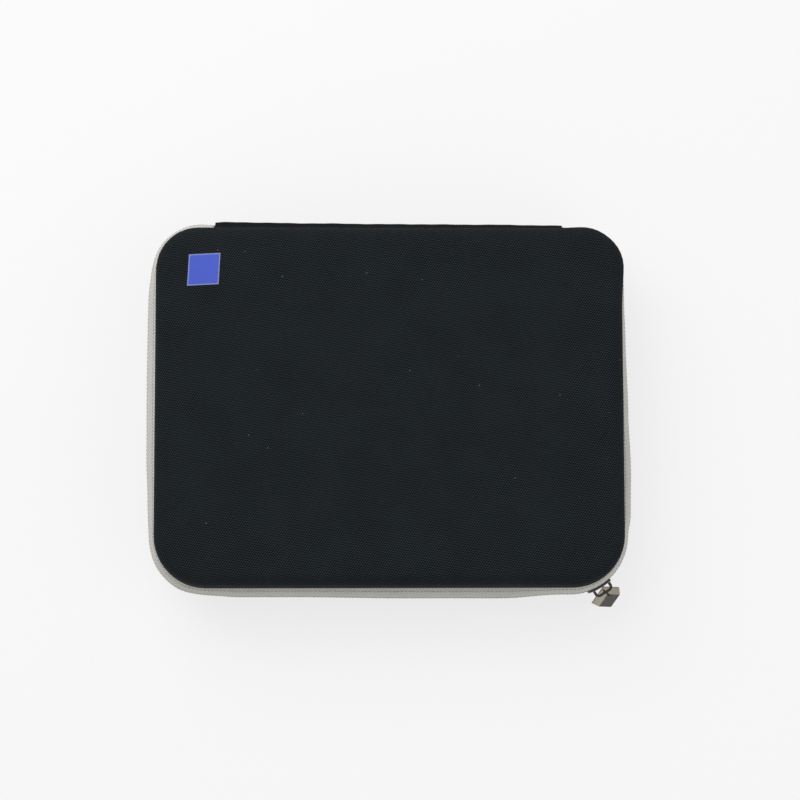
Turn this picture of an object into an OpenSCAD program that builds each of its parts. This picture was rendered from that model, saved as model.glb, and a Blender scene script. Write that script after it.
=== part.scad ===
// Zipped hard carry case for an otoscope set, closed and lying on its back.
// The origin is the middle of the face it rests on, X runs along the long side, the hinge is at +Y.

/* [Shells] */
// Width over the rims of the shells, left to right
case_w = 286; // [260:1:320]
// Depth over the rims of the shells, front to back
case_d = 220; // [200:1:250]
// Height of the base shell, and of the lid shell
shell_h = 28; // [24:0.5:36]
// Height of the cloth band between the two rims
band_h = 20; // [18:0.5:24]
// Thickness of the moulded wall
wall = 4; // [3:0.25:5]
// Radius of the two front corners, seen from above
corner_front = 32; // [28:1:40]
// Radius of the two back corners, seen from above
corner_back = 27; // [24:1:36]
// Radius of the rounded edge between floor and wall
edge_r = 9; // [8:0.5:11]
// How far the wall leans in from rim to floor
draft = 1.5; // [0.5:0.25:2.5]
// Height of the upright part of the wall under the rim
rim_band = 8; // [6:0.5:10]
// Thickness of the lining inside each shell
lining_t = 0.8; // [0.5:0.1:1.2]
// Height of the binding on each rim
binding_h = 1; // [0.6:0.1:1.5]
// Width of the binding on each rim
binding_w = 1.4; // [1:0.1:1.6]

/* [Zip] */
// How far the band stands out past the rims at the corners
band_out = 4; // [3.6:0.1:5]
// Thickness of the zip tape
tape_t = 1.2; // [0.8:0.1:1.4]
// Gap between the two tapes, where the slider's wedge runs
tape_gap = 1.4; // [1.4:0.1:2]
// Height of the upright lip of each tape, next to the gap
tape_lip = 4.8; // [4.4:0.1:5.4]
// Radius of the coil on each tape
coil_r = 0.8; // [0.5:0.05:0.9]
// Gap between the coil and its tape
coil_gap = 0.15; // [0.12:0.01:0.2]
// Length of a stop at the end of the coil
stop_l = 2.4; // [1.5:0.1:4]

/* [Slider and pull] */
// Place of the slider round the front right corner, in degrees
slider_at = -59.5; // [-70:0.5:-20]
// Length of the slider along the tape
slider_l = 15.3; // [12:0.1:16]
// Width of the slider across the tape
slider_w = 7.6; // [6.6:0.1:8]
// Thickness of each slider plate
plate_t = 1.2; // [0.9:0.1:1.4]
// Free gap between a moving metal piece and what it passes
slide_gap = 0.3; // [0.25:0.05:0.4]
// Thickness of the wedge between the tapes
wedge_t = 0.8; // [0.5:0.1:0.8]
// Length of the wedge along the tape
wedge_l = 3.2; // [2:0.1:5]
// Shift of the bridge along the slider, towards its nose
bridge_shift = 0.9; // [0:0.1:1.2]
// Half of the bridge's length
bridge_half = 6.2; // [6:0.1:6.4]
// Height of the bridge over the outer plate
bridge_rise = 4.9; // [4.6:0.1:5.1]
// Thickness of the bridge bar
bridge_t = 1.7; // [1.5:0.1:1.8]
// Outer radius of the bridge's two bends
bridge_bend = 3; // [2.6:0.1:3.4]
// Width of the bridge bar across the tape
bridge_w = 1.6; // [1.2:0.1:1.8]
// Diameter of the wire of the pull's link
ring_wire = 1; // [0.8:0.1:1.1]
// Height of the pull's link, to the middle of its wire
ring_h = 4.4; // [4:0.1:4.8]
// Length of the arms of the pull's link
ring_arm = 5; // [4.8:0.1:5.4]
// Direction of the link at rest, in degrees
ring_at = -40; // [-50:1:-30]
// Length of the pull's block
pull_l = 14; // [12:0.1:14.4]
// Width of the pull's block
pull_w = 14; // [12:0.1:14.4]
// Thickness of the pull's block
pull_t = 5; // [4.6:0.1:5.4]
// Width of the bevel round the pull's face
pull_bevel = 1.6; // [1:0.1:2]
// Height of the bevel round the pull's face
pull_bevel_h = 4.4; // [3:0.1:4.4]

/* [Spine] */
// Distance from the end of each back corner to the end of the cloth spine
spine_end = 8; // [6:0.5:20]
// Thickness of the spine panel
spine_t = 2; // [1.4:0.1:2.2]
// How far the spine panel bulges out at its middle
spine_bulge = 1.6; // [0.5:0.1:2.5]
// Height of the margin sewn to each shell
margin_h = 7; // [5:0.5:7.5]
// Thickness of the margin sewn to each shell
margin_t = 1.2; // [0.8:0.1:1.6]
// Clearance between the spine panel and its neighbours
spine_gap = 0.3; // [0.2:0.05:0.4]

/* [Foam insert] */
// Clearance between the foam and the lining
foam_gap = 0.3; // [0.2:0.1:0.6]
// Depth of the foam's top face below the base rim
foam_drop = 1; // [0.5:0.5:4]
// Foam left under every cavity
foam_floor = 3; // [2:0.5:5]
// Diameter of the battery handle cavity
handle_d = 34; // [28:1:36]
// Length of the battery handle cavity
handle_l = 172; // [150:1:176]
// Width of a head cavity
head_w = 58; // [40:1:62]
// Depth of a head cavity, front to back
head_d = 66; // [50:1:68]
// Corner radius of the head cavities and of the small cavities
cavity_r = 9; // [6:0.5:11]
// Width of a specula cavity
specula_w = 42; // [30:1:44]
// Gap between two cavities
cavity_gap = 9; // [7:0.5:10]
// Depth of the finger notches under the foam's top face
notch_depth = 11; // [8:0.5:13]
// Diameter of the finger notch beside the handle
notch_d = 26; // [20:1:28]
// Width of a strap
strap_w = 20; // [12:1:25]
// Thickness of a strap
strap_t = 1; // [0.8:0.1:1.6]
// Overlap of a strap on the foam at each end
strap_lap = 6; // [4:0.5:6.5]
// Distance between the two straps
strap_pitch = 96; // [60:1:110]

/* [Lid pocket] */
// Thickness of the foam pad in the lid
pad_t = 5; // [3:0.5:7]
// Distance of the mesh pocket from each side of the lid
pocket_side = 35; // [20:1:50]
// Distance of the mesh pocket from the front of the lid
pocket_front = 54; // [30:1:60]
// Distance of the mesh pocket's mouth from the back of the lid
pocket_back = 38; // [20:1:50]
// Thickness of the mesh
mesh_t = 0.8; // [0.5:0.1:1.2]
// Depth of the pocket behind the mesh
pocket_depth = 6; // [5:0.5:7]
// Width of the binding round the pocket
pocket_edge = 3; // [2:0.5:4]
// Width of the elastic hem across the pocket's mouth
hem_w = 9; // [6:0.5:12]
// Thickness of the elastic hem
hem_t = 1.6; // [1.2:0.1:2]
// Corner radius of the pocket
pocket_r = 14; // [8:1:18]

/* [Patch] */
// Side of the plain square patch on the lid
patch_w = 19; // [12:0.5:24]
// Thickness of the patch
patch_t = 0.3; // [0.2:0.1:0.6]
// Distance of the patch's middle from the left side of the lid
patch_side = 31; // [26:1:250]
// Distance of the patch's middle from the back of the lid
patch_back = 28.5; // [26:0.5:190]
// Turn of the patch, in degrees
patch_turn = 3; // [-10:1:10]
// Lean of the patch's sides, in degrees
patch_lean = 6; // [0:1:8]

/* [Hidden] */
$fn = 96;
arc_steps = 8;
lap = 1;

total_h = 2 * shell_h + band_h;
mid_z = total_h / 2;
front_x = case_w / 2 - corner_front;
front_y = -(case_d / 2 - corner_front);
back_x = case_w / 2 - corner_back;
back_y = case_d / 2 - corner_back;
spine_w = 2 * (back_x - spine_end);
core_in = draft + edge_r;

// Inside of the linings
lined = wall + lining_t;
foam_in = lined + foam_gap;
foam_top = shell_h - foam_drop;
foam_base = foam_in;
cavity_z = foam_base + foam_floor;

// The two stitch lines that the spine turns on
hinge_y = case_d / 2 + band_out + spine_gap;
hinge_low = shell_h + spine_t / 2 + spine_gap;
hinge_high = total_h - hinge_low;

// The tape's section, from the rim out to the upright lip
tape_top = mid_z - tape_gap / 2;
tape_knee = tape_top - tape_lip;
tape_foot = -wall + 0.7;
knee_in = 0.6;
coil_u = band_out - tape_t - coil_r - coil_gap;
coil_z = tape_top - coil_r;

// The slider's plates lie either side of the tapes.
track_r = corner_front + band_out;
outer_u = band_out + slide_gap;
inner_u = coil_u - coil_r - slide_gap - plate_t;
slider_half = slider_l / 2 / track_r * 180 / PI;
wedge_turn = wedge_l / track_r * 180 / PI;
bridge_at = slider_at + bridge_shift / track_r * 180 / PI;
plate_face = outer_u + plate_t;
bridge_top = plate_face + bridge_rise;
bridge_foot = plate_face - 2 * plate_t / 3;
ring_u = bridge_top - bridge_t - slide_gap - ring_wire / 2;
ring_x = front_x + (corner_front + ring_u) * cos(bridge_at);
ring_y = front_y + (corner_front + ring_u) * sin(bridge_at);
// The block hangs down and out from the link, with its face turned up to the front.
// The place of its middle is measured from the link's pin.
pull_turn = [41.8, 37.3, -2.9];
pull_place = [3.8, -4.7, -11.5];
// How far the outer bar of the link runs down into the block
ring_drop = 6.5;

// Cavities of the foam, from the back wall to the front wall
foam_y = case_d / 2 - foam_in - draft;
handle_y = foam_y - cavity_gap - handle_d / 2;
handle_x = -(case_w / 2 - foam_in - draft) + cavity_gap + handle_l / 2;
head_y = handle_y - handle_d / 2 - cavity_gap - head_d / 2;
head_x = -(case_w / 2 - foam_in - draft) + cavity_gap + 4 + head_w / 2;
head_step = head_w + cavity_gap;
specula_x = case_w / 2 - foam_in - draft - cavity_gap - specula_w / 2;
small_y = head_y - head_d / 2 - cavity_gap;
small_front = -foam_y + cavity_gap;
small_d = small_y - small_front;
small_w = head_w * 2 + cavity_gap;
middle_from = head_x + head_step + head_w / 2 + cavity_gap;
middle_to = specula_x - specula_w / 2 - cavity_gap;
bulb_from = handle_x + handle_l / 2 + cavity_gap;
bulb_to = specula_x + specula_w / 2;

// Levels inside the lid, measured down from its top
pad_z = total_h - lined - pad_t;
mesh_z = pad_z - pocket_depth - mesh_t;
pocket_w = case_w - 2 * pocket_side;
pocket_h = case_d - pocket_front - pocket_back;
pocket_y = (pocket_front - pocket_back) / 2;

// Half section of a shell's surface, the distance i inside its outer face.
// It runs from the floor to the height h, and its first value is measured outward from the rim.
// It starts a little inside the flat floor, so that the two overlap.
function skin(i, h) = concat(
    [[-core_in - lap, i]],
    [for (k = [0:arc_steps])
        let (a = -90 + 90 * k / arc_steps)
        [-core_in + (edge_r - i) * cos(a), edge_r + (edge_r - i) * sin(a)]],
    [[-i, shell_h - rim_band], [-i, h]]
);

function turned(list) = [for (k = [len(list) - 1:-1:0]) list[k]];

// Outline of the rims, drawn in by the distance given
module outline(inset) {
    for (s = [-1, 1]) {
        translate([s * front_x, front_y])
            circle(corner_front - inset);
        translate([s * back_x, back_y])
            circle(corner_back - inset);
    }
    polygon([
        [-front_x, -case_d / 2 + inset], [front_x, -case_d / 2 + inset],
        [case_w / 2 - inset, front_y], [case_w / 2 - inset, back_y],
        [back_x, case_d / 2 - inset], [-back_x, case_d / 2 - inset],
        [-case_w / 2 + inset, back_y], [-case_w / 2 + inset, front_y]
    ]);
}

// Sweeps a section, drawn outward from the rim, round the case.
// At the back it starts at the distance start_x from the middle.
module round_rim(start_x = 0) {
    for (s = [0, 1])
        mirror([s, 0, 0]) {
            translate([front_x, -case_d / 2, 0])
                rotate([90, 0, -90])
                    linear_extrude(front_x)
                        children();
            translate([front_x, front_y, 0])
                rotate([0, 0, -90])
                    rotate_extrude(angle = 90)
                        translate([corner_front, 0])
                            children();
            translate([case_w / 2, back_y, 0])
                rotate([90, 0, 0])
                    linear_extrude(back_y - front_y)
                        children();
            translate([back_x, back_y, 0])
                rotate_extrude(angle = 90)
                    translate([corner_back, 0])
                        children();
            translate([start_x, case_d / 2, 0])
                rotate([90, 0, 90])
                    linear_extrude(back_x - start_x)
                        children();
        }
}

// A tray between the depths i and j, open at the top
module tray(i, j) {
    round_rim()
        polygon(concat(skin(i, shell_h), turned(skin(j, shell_h))));
    translate([0, 0, i])
        linear_extrude(j - i)
            outline(core_in);
}

// A full block that fills a tray from the depth i to the height h
module block(i, h) {
    round_rim()
        polygon(concat(skin(i, h), [[-core_in - lap, h]]));
    translate([0, 0, i])
        linear_extrude(h - i)
            outline(core_in);
}

// What is drawn for the base, turned over onto the lid
module on_lid() {
    translate([0, 0, total_h])
        mirror([0, 0, 1])
            children();
}

module tape_section() {
    polygon([
        [tape_foot, shell_h],
        [tape_foot + 1.2 * tape_t, shell_h],
        [band_out - knee_in, tape_knee],
        [band_out, tape_top],
        [band_out - tape_t, tape_top],
        [band_out - tape_t, tape_knee + 0.5 * tape_t]
    ]);
}

module tape() {
    color([0.73, 0.72, 0.68])
        round_rim(spine_w / 2 + spine_gap)
            tape_section();
}

module coil() {
    color([0.45, 0.44, 0.42])
        round_rim(spine_w / 2 + spine_gap + stop_l)
            translate([coil_u, coil_z])
                circle(coil_r);
}

module stop(side) {
    color("dimgray")
        translate([
            side * (spine_w / 2 + spine_gap + stop_l / 2),
            case_d / 2 + coil_u,
            coil_z
        ])
            cube([stop_l, 2 * coil_r, 2 * coil_r], center = true);
}

module shell() {
    color([0.10, 0.11, 0.12])
        tray(0, wall);
}

module lining() {
    color([0.16, 0.16, 0.17])
        tray(wall, lined);
}

module binding() {
    color([0.08, 0.08, 0.09])
        translate([0, 0, shell_h])
            linear_extrude(binding_h)
                difference() {
                    outline(lined - binding_w);
                    outline(lined);
                }
}

module base_shell() {
    shell();
}

module base_lining() {
    lining();
}

module base_binding() {
    binding();
}

module lower_tape() {
    tape();
}

module lower_coil() {
    coil();
}

module stop_left() {
    stop(-1);
}

module stop_right() {
    stop(1);
}

// The two ends of a width w about the place x
function across(x, w) = [x - w / 2, x + w / 2];

// A cavity with rounded corners between two places in x, open at the top
module cavity(x, y, d) {
    w = x[1] - x[0];
    translate([x[0] + w / 2, y, cavity_z])
        linear_extrude(shell_h) {
            for (sx = [-1, 1], sy = [-1, 1])
                translate([sx * (w / 2 - cavity_r), sy * (d / 2 - cavity_r)])
                    circle(cavity_r);
            square([w, d - 2 * cavity_r], center = true);
            square([w - 2 * cavity_r, d], center = true);
        }
}

// A trough with a round bottom for the battery handle
module handle_cavity() {
    translate([handle_x - handle_l / 2, handle_y, cavity_z + handle_d / 2])
        rotate([0, 90, 0])
            cylinder(d = handle_d, h = handle_l);
    translate([handle_x - handle_l / 2, handle_y - handle_d / 2, cavity_z + handle_d / 2])
        cube([handle_l, handle_d, shell_h]);
}

module foam_insert() {
    color([0.24, 0.24, 0.26])
        difference() {
            block(foam_in, foam_top);
            handle_cavity();
            for (k = [0, 1])
                cavity(across(head_x + k * head_step, head_w), head_y, head_d);
            cavity(across(head_x + head_step / 2, small_w), small_front + small_d / 2, small_d);
            for (x = [[middle_from, middle_to], [bulb_to - specula_w, bulb_to]]) {
                cavity(x, head_y, head_d);
                cavity(x, small_front + small_d / 2, small_d);
            }
            cavity([bulb_from, bulb_to], handle_y, handle_d);
            translate([handle_x, handle_y - handle_d / 2, foam_top - notch_depth])
                cylinder(d = notch_d, h = shell_h);
        }
}

module strap(side) {
    color([0.07, 0.07, 0.08])
        translate([
            handle_x + side * strap_pitch / 2 - strap_w / 2,
            handle_y - handle_d / 2 - strap_lap,
            foam_top
        ])
            cube([strap_w, handle_d + 2 * strap_lap, strap_t]);
}

module strap_left() {
    strap(-1);
}

module strap_right() {
    strap(1);
}

// The margin of the spine cloth, sewn to a shell, with the rolled seam along the stitch line
module margin() {
    color([0.09, 0.10, 0.10])
        translate([-spine_w / 2, case_d / 2, 0])
            rotate([90, 0, 90])
                linear_extrude(spine_w)
                    polygon([
                        [0, shell_h - margin_h],
                        [margin_t, shell_h - margin_h],
                        [margin_t, shell_h - 2 * margin_t],
                        [hinge_y - case_d / 2, shell_h - margin_t],
                        [hinge_y - case_d / 2, shell_h],
                        [0, shell_h]
                    ]);
}

module spine_lower_margin() {
    margin();
}

module spine_upper_margin() {
    on_lid()
        margin();
}

spine_len = spine_w - 2 * spine_gap;

// Draws a section of the spine, with y outward from the stitch lines and z up.
module along_spine() {
    translate([-spine_len / 2, hinge_y, 0])
        rotate([90, 0, 90])
            linear_extrude(spine_len)
                children();
}

module spine_panel() {
    color([0.10, 0.11, 0.12])
        along_spine() {
            translate([0, hinge_low])
                circle(d = spine_t);
            translate([0, hinge_high])
                circle(d = spine_t);
            polygon(concat(
                [for (k = [0:arc_steps])
                    let (t = k / arc_steps)
                    [spine_t / 2 + spine_bulge * sin(180 * t), hinge_low + (hinge_high - hinge_low) * t]],
                [[-spine_t / 2, hinge_high], [-spine_t / 2, hinge_low]]
            ));
        }
}

module spine_lining() {
    color([0.16, 0.16, 0.17])
        along_spine()
            translate([-spine_t / 2 - lining_t, hinge_low + margin_t])
                square([lining_t, hinge_high - hinge_low - 2 * margin_t]);
}

module lid_shell() {
    on_lid()
        shell();
}

module lid_lining() {
    on_lid()
        lining();
}

module lid_binding() {
    on_lid()
        binding();
}

module upper_tape() {
    on_lid()
        tape();
}

module upper_coil() {
    on_lid()
        coil();
}

module lid_pad() {
    color([0.24, 0.24, 0.26])
        translate([0, 0, pad_z])
            linear_extrude(pad_t)
                outline(core_in);
}

// Plan of the pocket, drawn in by the distance given, with its mouth at the back
module pocket_plan(inset) {
    for (s = [-1, 1])
        translate([s * (pocket_w / 2 - pocket_r), pocket_y - pocket_h / 2 + pocket_r])
            circle(pocket_r - inset);
    translate([-pocket_w / 2 + inset, pocket_y - pocket_h / 2 + pocket_r])
        square([pocket_w - 2 * inset, pocket_h - pocket_r]);
    translate([-pocket_w / 2 + pocket_r, pocket_y - pocket_h / 2 + inset])
        square([pocket_w - 2 * pocket_r, pocket_r]);
}

module pocket_binding() {
    color([0.08, 0.08, 0.09])
        translate([0, 0, mesh_z + mesh_t])
            linear_extrude(pocket_depth)
                difference() {
                    pocket_plan(0);
                    pocket_plan(pocket_edge);
                    translate([-pocket_w / 2 + pocket_edge, pocket_y])
                        square([pocket_w - 2 * pocket_edge, pocket_h]);
                }
}

module mesh_pocket() {
    color([0.14, 0.14, 0.15])
        translate([0, 0, mesh_z])
            linear_extrude(mesh_t)
                difference() {
                    pocket_plan(0);
                    translate([-pocket_w, pocket_y + pocket_h / 2 - hem_w])
                        square([2 * pocket_w, pocket_h]);
                }
}

module pocket_hem() {
    color([0.07, 0.07, 0.08])
        translate([-pocket_w / 2, pocket_y + pocket_h / 2 - hem_w, mesh_z + mesh_t - hem_t])
            cube([pocket_w, hem_w, hem_t]);
}

patch_slip = patch_w / 2 * tan(patch_lean);

module lid_patch() {
    color([0.33, 0.41, 0.80])
        translate([patch_side - case_w / 2, case_d / 2 - patch_back, total_h + patch_t / 2])
            rotate([0, 0, patch_turn])
                linear_extrude(patch_t, center = true)
                    polygon([
                        [-patch_w / 2 - patch_slip, -patch_w / 2],
                        [patch_w / 2 - patch_slip, -patch_w / 2],
                        [patch_w / 2 + patch_slip, patch_w / 2],
                        [-patch_w / 2 + patch_slip, patch_w / 2]
                    ]);
}

// Sweeps a section round the corner, over the angle given, about the place given.
module round_corner(at, turn) {
    translate([front_x, front_y, 0])
        rotate([0, 0, at - turn / 2])
            rotate_extrude(angle = turn)
                translate([corner_front, 0])
                    children();
}

module slider_plate(u) {
    round_corner(slider_at, 2 * slider_half)
        translate([u, mid_z - slider_w / 2])
            square([plate_t, slider_w]);
}

// Side view of the bridge drawn in by the distance given, with x outward from the track
module bridge_plan(inset) {
    r = bridge_bend - inset;
    w = bridge_half - inset;
    for (s = [-1, 1])
        translate([bridge_top - bridge_bend, s * (w - r)])
            circle(r);
    translate([bridge_foot, -w])
        square([bridge_top - bridge_bend - bridge_foot, 2 * w]);
    translate([bridge_foot, r - w])
        square([bridge_top - inset - bridge_foot, 2 * (w - r)]);
}

module bridge() {
    translate([front_x, front_y, mid_z - bridge_w / 2])
        rotate([0, 0, bridge_at])
            translate([corner_front, 0, 0])
                linear_extrude(bridge_w)
                    difference() {
                        bridge_plan(0);
                        bridge_plan(bridge_t);
                    }
}

module zip_slider() {
    color([0.30, 0.29, 0.28]) {
        slider_plate(outer_u);
        slider_plate(inner_u);
        round_corner(slider_at + slider_half - wedge_turn / 2, wedge_turn)
            translate([inner_u + plate_t / 2, mid_z - wedge_t / 2])
                square([outer_u - inner_u, wedge_t]);
        bridge();
    }
}

// Section of the block across the width w, with the bevels on both sides of its face
module block_section(w) {
    polygon([
        [-w / 2, -pull_t / 2],
        [w / 2, -pull_t / 2],
        [w / 2, pull_t / 2 - pull_bevel_h],
        [w / 2 - pull_bevel, pull_t / 2],
        [-w / 2 + pull_bevel, pull_t / 2],
        [-w / 2, pull_t / 2 - pull_bevel_h]
    ]);
}

module pull_block() {
    intersection() {
        translate([0, pull_l / 2, 0])
            rotate([90, 0, 0])
                linear_extrude(pull_l)
                    block_section(pull_w);
        translate([-pull_w / 2, 0, 0])
            rotate([90, 0, 90])
                linear_extrude(pull_w)
                    block_section(pull_l);
    }
}

// A straight wire of the length given, with rounded ends
module wire(l) {
    cylinder(d = ring_wire, h = l);
    for (z = [0, l])
        translate([0, 0, z])
            sphere(d = ring_wire);
}

// The link in the plane of X and Z, with its pin at the origin
module link() {
    translate([0, 0, -ring_h / 2])
        wire(ring_h);
    translate([ring_arm, 0, -ring_drop])
        wire(ring_h / 2 + ring_drop);
    for (s = [-1, 1])
        translate([0, 0, s * ring_h / 2])
            rotate([0, 90, 0])
                wire(ring_arm);
}

module zip_pull() {
    color([0.42, 0.40, 0.37])
        translate([ring_x, ring_y, mid_z]) {
            rotate([0, 0, ring_at])
                link();
            translate(pull_place)
                rotate(pull_turn)
                    pull_block();
        }
}

base_shell();
base_lining();
base_binding();
foam_insert();
strap_left();
strap_right();
lower_tape();
lower_coil();
stop_left();
stop_right();
spine_lower_margin();
spine_panel();
spine_lining();
lid_shell();
lid_lining();
lid_binding();
lid_pad();
mesh_pocket();
pocket_hem();
pocket_binding();
upper_tape();
upper_coil();
spine_upper_margin();
lid_patch();
zip_slider();
zip_pull();
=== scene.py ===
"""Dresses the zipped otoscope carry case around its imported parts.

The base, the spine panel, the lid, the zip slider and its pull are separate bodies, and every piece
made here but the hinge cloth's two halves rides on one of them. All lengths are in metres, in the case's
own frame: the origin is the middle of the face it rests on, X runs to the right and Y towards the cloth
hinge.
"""

import bisect
import math

import bmesh
import bpy
from bpy.props import FloatProperty, FloatVectorProperty, IntProperty, PointerProperty
from mathutils import Matrix, Vector


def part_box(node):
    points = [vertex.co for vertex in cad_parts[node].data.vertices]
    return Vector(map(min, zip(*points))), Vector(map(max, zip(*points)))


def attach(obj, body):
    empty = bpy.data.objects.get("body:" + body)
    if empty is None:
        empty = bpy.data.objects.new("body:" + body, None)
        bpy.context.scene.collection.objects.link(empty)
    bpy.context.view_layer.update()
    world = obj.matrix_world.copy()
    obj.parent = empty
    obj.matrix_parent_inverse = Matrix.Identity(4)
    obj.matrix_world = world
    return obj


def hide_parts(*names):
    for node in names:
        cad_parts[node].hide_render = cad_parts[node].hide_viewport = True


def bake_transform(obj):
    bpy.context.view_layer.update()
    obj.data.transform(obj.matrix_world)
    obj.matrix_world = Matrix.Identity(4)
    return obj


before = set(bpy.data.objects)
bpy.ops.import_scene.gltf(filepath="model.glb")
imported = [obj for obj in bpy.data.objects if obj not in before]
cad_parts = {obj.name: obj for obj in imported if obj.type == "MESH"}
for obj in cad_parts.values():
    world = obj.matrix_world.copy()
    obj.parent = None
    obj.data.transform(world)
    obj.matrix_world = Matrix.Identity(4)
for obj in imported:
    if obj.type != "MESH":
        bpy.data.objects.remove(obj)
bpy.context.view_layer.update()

bl_info = {
    "name": "Zipped instrument case",
    "version": (1, 0, 0),
    "blender": (4, 5, 0),
    "location": "View3D > Sidebar > Case",
    "description": "Cloth, zip, spine, foam and fittings of a zipped hard case",
    "category": "Add Mesh",
}

MM = 0.001

# Sizes read from the frame
SHELL_LOW, SHELL_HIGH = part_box("base_shell")
CASE_W = SHELL_HIGH[0] - SHELL_LOW[0]
CASE_D = SHELL_HIGH[1] - SHELL_LOW[1]
RIM_LOW = SHELL_HIGH[2]
TOTAL_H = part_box("lid_shell")[1][2]
MID_Z = TOTAL_H / 2
SPINE_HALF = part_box("spine_panel")[1][0]

# What is made for the base and again, turned over, for the lid
HALVES = (("lower", "base", False), ("upper", "lid", True))

# Sizes of the moulded shells, as the part's source has them
WALL = 4 * MM
CORNER_FRONT = 32 * MM
CORNER_BACK = 27 * MM
EDGE_R = 9 * MM
DRAFT = 1.5 * MM
RIM_BAND = 8 * MM
CORE_IN = DRAFT + EDGE_R

# The zip tapes' ends, from the middle of the back along the rim
TAPE_END = SPINE_HALF + 0.6 * MM

# Centres of the front and the back corners
FRONT_X = CASE_W / 2 - CORNER_FRONT
FRONT_Y = -(CASE_D / 2 - CORNER_FRONT)
BACK_X = CASE_W / 2 - CORNER_BACK
BACK_Y = CASE_D / 2 - CORNER_BACK


# Settings that a user would change


def a_length(name, description, default):
    return FloatProperty(name=name, description=description, default=default, subtype="DISTANCE",
                         unit="LENGTH")


def an_angle(name, description, degrees):
    return FloatProperty(name=name, description=description, default=math.radians(degrees),
                         subtype="ANGLE", unit="ROTATION")


def a_colour(name, description, default):
    return FloatVectorProperty(name=name, description=description, default=default,
                               subtype="COLOR", min=0, max=1)


class CaseSizes(bpy.types.PropertyGroup):
    """Lengths of the finish"""

    yarn: a_length("Yarn pitch", "Distance between the rows of dots of the outer cloth", 1.18 * MM)
    twill: a_length("Twill pitch", "Distance between the zip tape's twill lines", 1.9 * MM)
    stitch: a_length("Stitch pitch", "Distance from stitch to stitch", 2.4 * MM)
    tooth: a_length("Coil pitch", "Distance from turn to turn of the zip coil", 1.0 * MM)
    net: a_length("Net pitch", "Distance between the yarns of the pocket's net", 3.2 * MM)
    crown: a_length("Lid crown", "Rise of the lid's middle over its edge", 0.7 * MM)


class CaseColours(bpy.types.PropertyGroup):
    """Colours of the finish"""

    cloth: a_colour("Outer cloth", "Colour of the shells' cloth", (0.0048, 0.0062, 0.0070))
    tape: a_colour("Zip tape", "Colour of the twill zip tape", (0.70, 0.68, 0.635))
    metal: a_colour("Plating", "Colour of the slider's dark plating", (0.030, 0.028, 0.027))
    pull: a_colour("Pull", "Colour of the pull's face", (0.085, 0.082, 0.078))
    # Painted reflection: the pull's bevels are painted lighter for the bright surroundings that they
    # reflect.
    bevel_reflection: a_colour("Pull's bevels", "Colour of the rubbed bevels of the pull", (0.33, 0.31, 0.24))
    patch: a_colour("Patch", "Colour of the plain square print", (0.088, 0.135, 0.62))


class CaseView(bpy.types.PropertyGroup):
    """Where the camera stands, and the seed of what is uneven"""

    distance: a_length("Distance", "From the lid's middle to the camera", 1.113)
    lean: an_angle("Lean", "Lean of the view from straight down, to the front", 4.86)
    side: an_angle("Side", "Lean of the view from straight down, to the left", 1.1)
    field: a_length("Field", "Width that the picture takes in at the lid", 0.4795)
    shift_x: FloatProperty(name="Shift across", description="Shift of the picture across",
                           default=0.01244)
    shift_y: FloatProperty(name="Shift up", description="Shift of the picture up", default=0.00529)
    seed: IntProperty(name="Seed", description="Seed of the small irregularities", default=7)


# Small tools for meshes


def add_object(name, data):
    """An object in the scene that holds some data."""
    obj = bpy.data.objects.new(name, data)
    bpy.context.collection.objects.link(obj)
    return obj


def shade_faces(mesh, smooth):
    """Shades every face smooth or flat."""
    for face in mesh.polygons:
        face.use_smooth = smooth


def put_marks(mesh, name, domain, values):
    """Gives each point or face of a mesh a number, which its finish reads."""
    layer = mesh.attributes.new(name, "FLOAT", domain)
    for k, value in enumerate(values):
        layer.data[k].value = value


def mesh_piece(name, verts, faces, material=None, uvs=None):
    """A smooth mesh object in place, with its normals made to point outward."""
    mesh = bpy.data.meshes.new(name)
    mesh.from_pydata([tuple(v) for v in verts], [], faces)
    if uvs is not None:
        layer = mesh.uv_layers.new(name="cloth")
        for loop in mesh.loops:
            layer.data[loop.index].uv = uvs[loop.vertex_index]
    edit = bmesh.new()
    edit.from_mesh(mesh)
    bmesh.ops.recalc_face_normals(edit, faces=edit.faces)
    edit.to_mesh(mesh)
    edit.free()
    shade_faces(mesh, True)
    if material is not None:
        mesh.materials.append(material)
    return add_object(name, mesh)


def run_nodes(obj, group, **inputs):
    """Runs a Geometry Nodes group on an object and leaves a plain smooth mesh."""
    modifier = obj.modifiers.new("Nodes", "NODES")
    modifier.node_group = group
    for socket in group.interface.items_tree:
        if socket.item_type == "SOCKET" and socket.name in inputs:
            modifier[socket.identifier] = inputs[socket.name]
    graph = bpy.context.evaluated_depsgraph_get()
    mesh = bpy.data.meshes.new_from_object(obj.evaluated_get(graph))
    obj.modifiers.clear()
    obj.data = mesh
    shade_faces(mesh, True)


def assign(piece, body, slot, *nodes):
    """Says which body a piece rides on and the nodes it stands for; its slot is not used."""
    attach(piece, body)
    if nodes:
        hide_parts(*nodes)


def grid_faces(rows, columns, close_rows, close_columns):
    """Quads of a grid of vertices laid out row by row."""
    faces = []
    for r in range(rows if close_rows else rows - 1):
        for c in range(columns if close_columns else columns - 1):
            after, beside = (r + 1) % rows, (c + 1) % columns
            faces.append((r * columns + c, r * columns + beside,
                          after * columns + beside, after * columns + c))
    return faces


def tube_faces(rows, size):
    """Quads of a tube of rings of vertices, with a cap on each end."""
    faces = grid_faces(rows, size, False, True)
    faces.append(tuple(range(size)))
    faces.append(tuple((rows - 1) * size + k for k in reversed(range(size))))
    return faces


def smoothstep(t):
    """Eases from 0 to 1, flat at both ends."""
    t = min(max(t, 0.0), 1.0)
    return t * t * (3 - 2 * t)


def blend_list(stations, s):
    """The value at s of a list of (place, value), joined smoothly."""
    for (a, u), (b, v) in zip(stations, stations[1:]):
        if s <= b:
            return u + (v - u) * smoothstep((s - a) / (b - a))
    return stations[-1][1]


# The rim's path, seen from above


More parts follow.
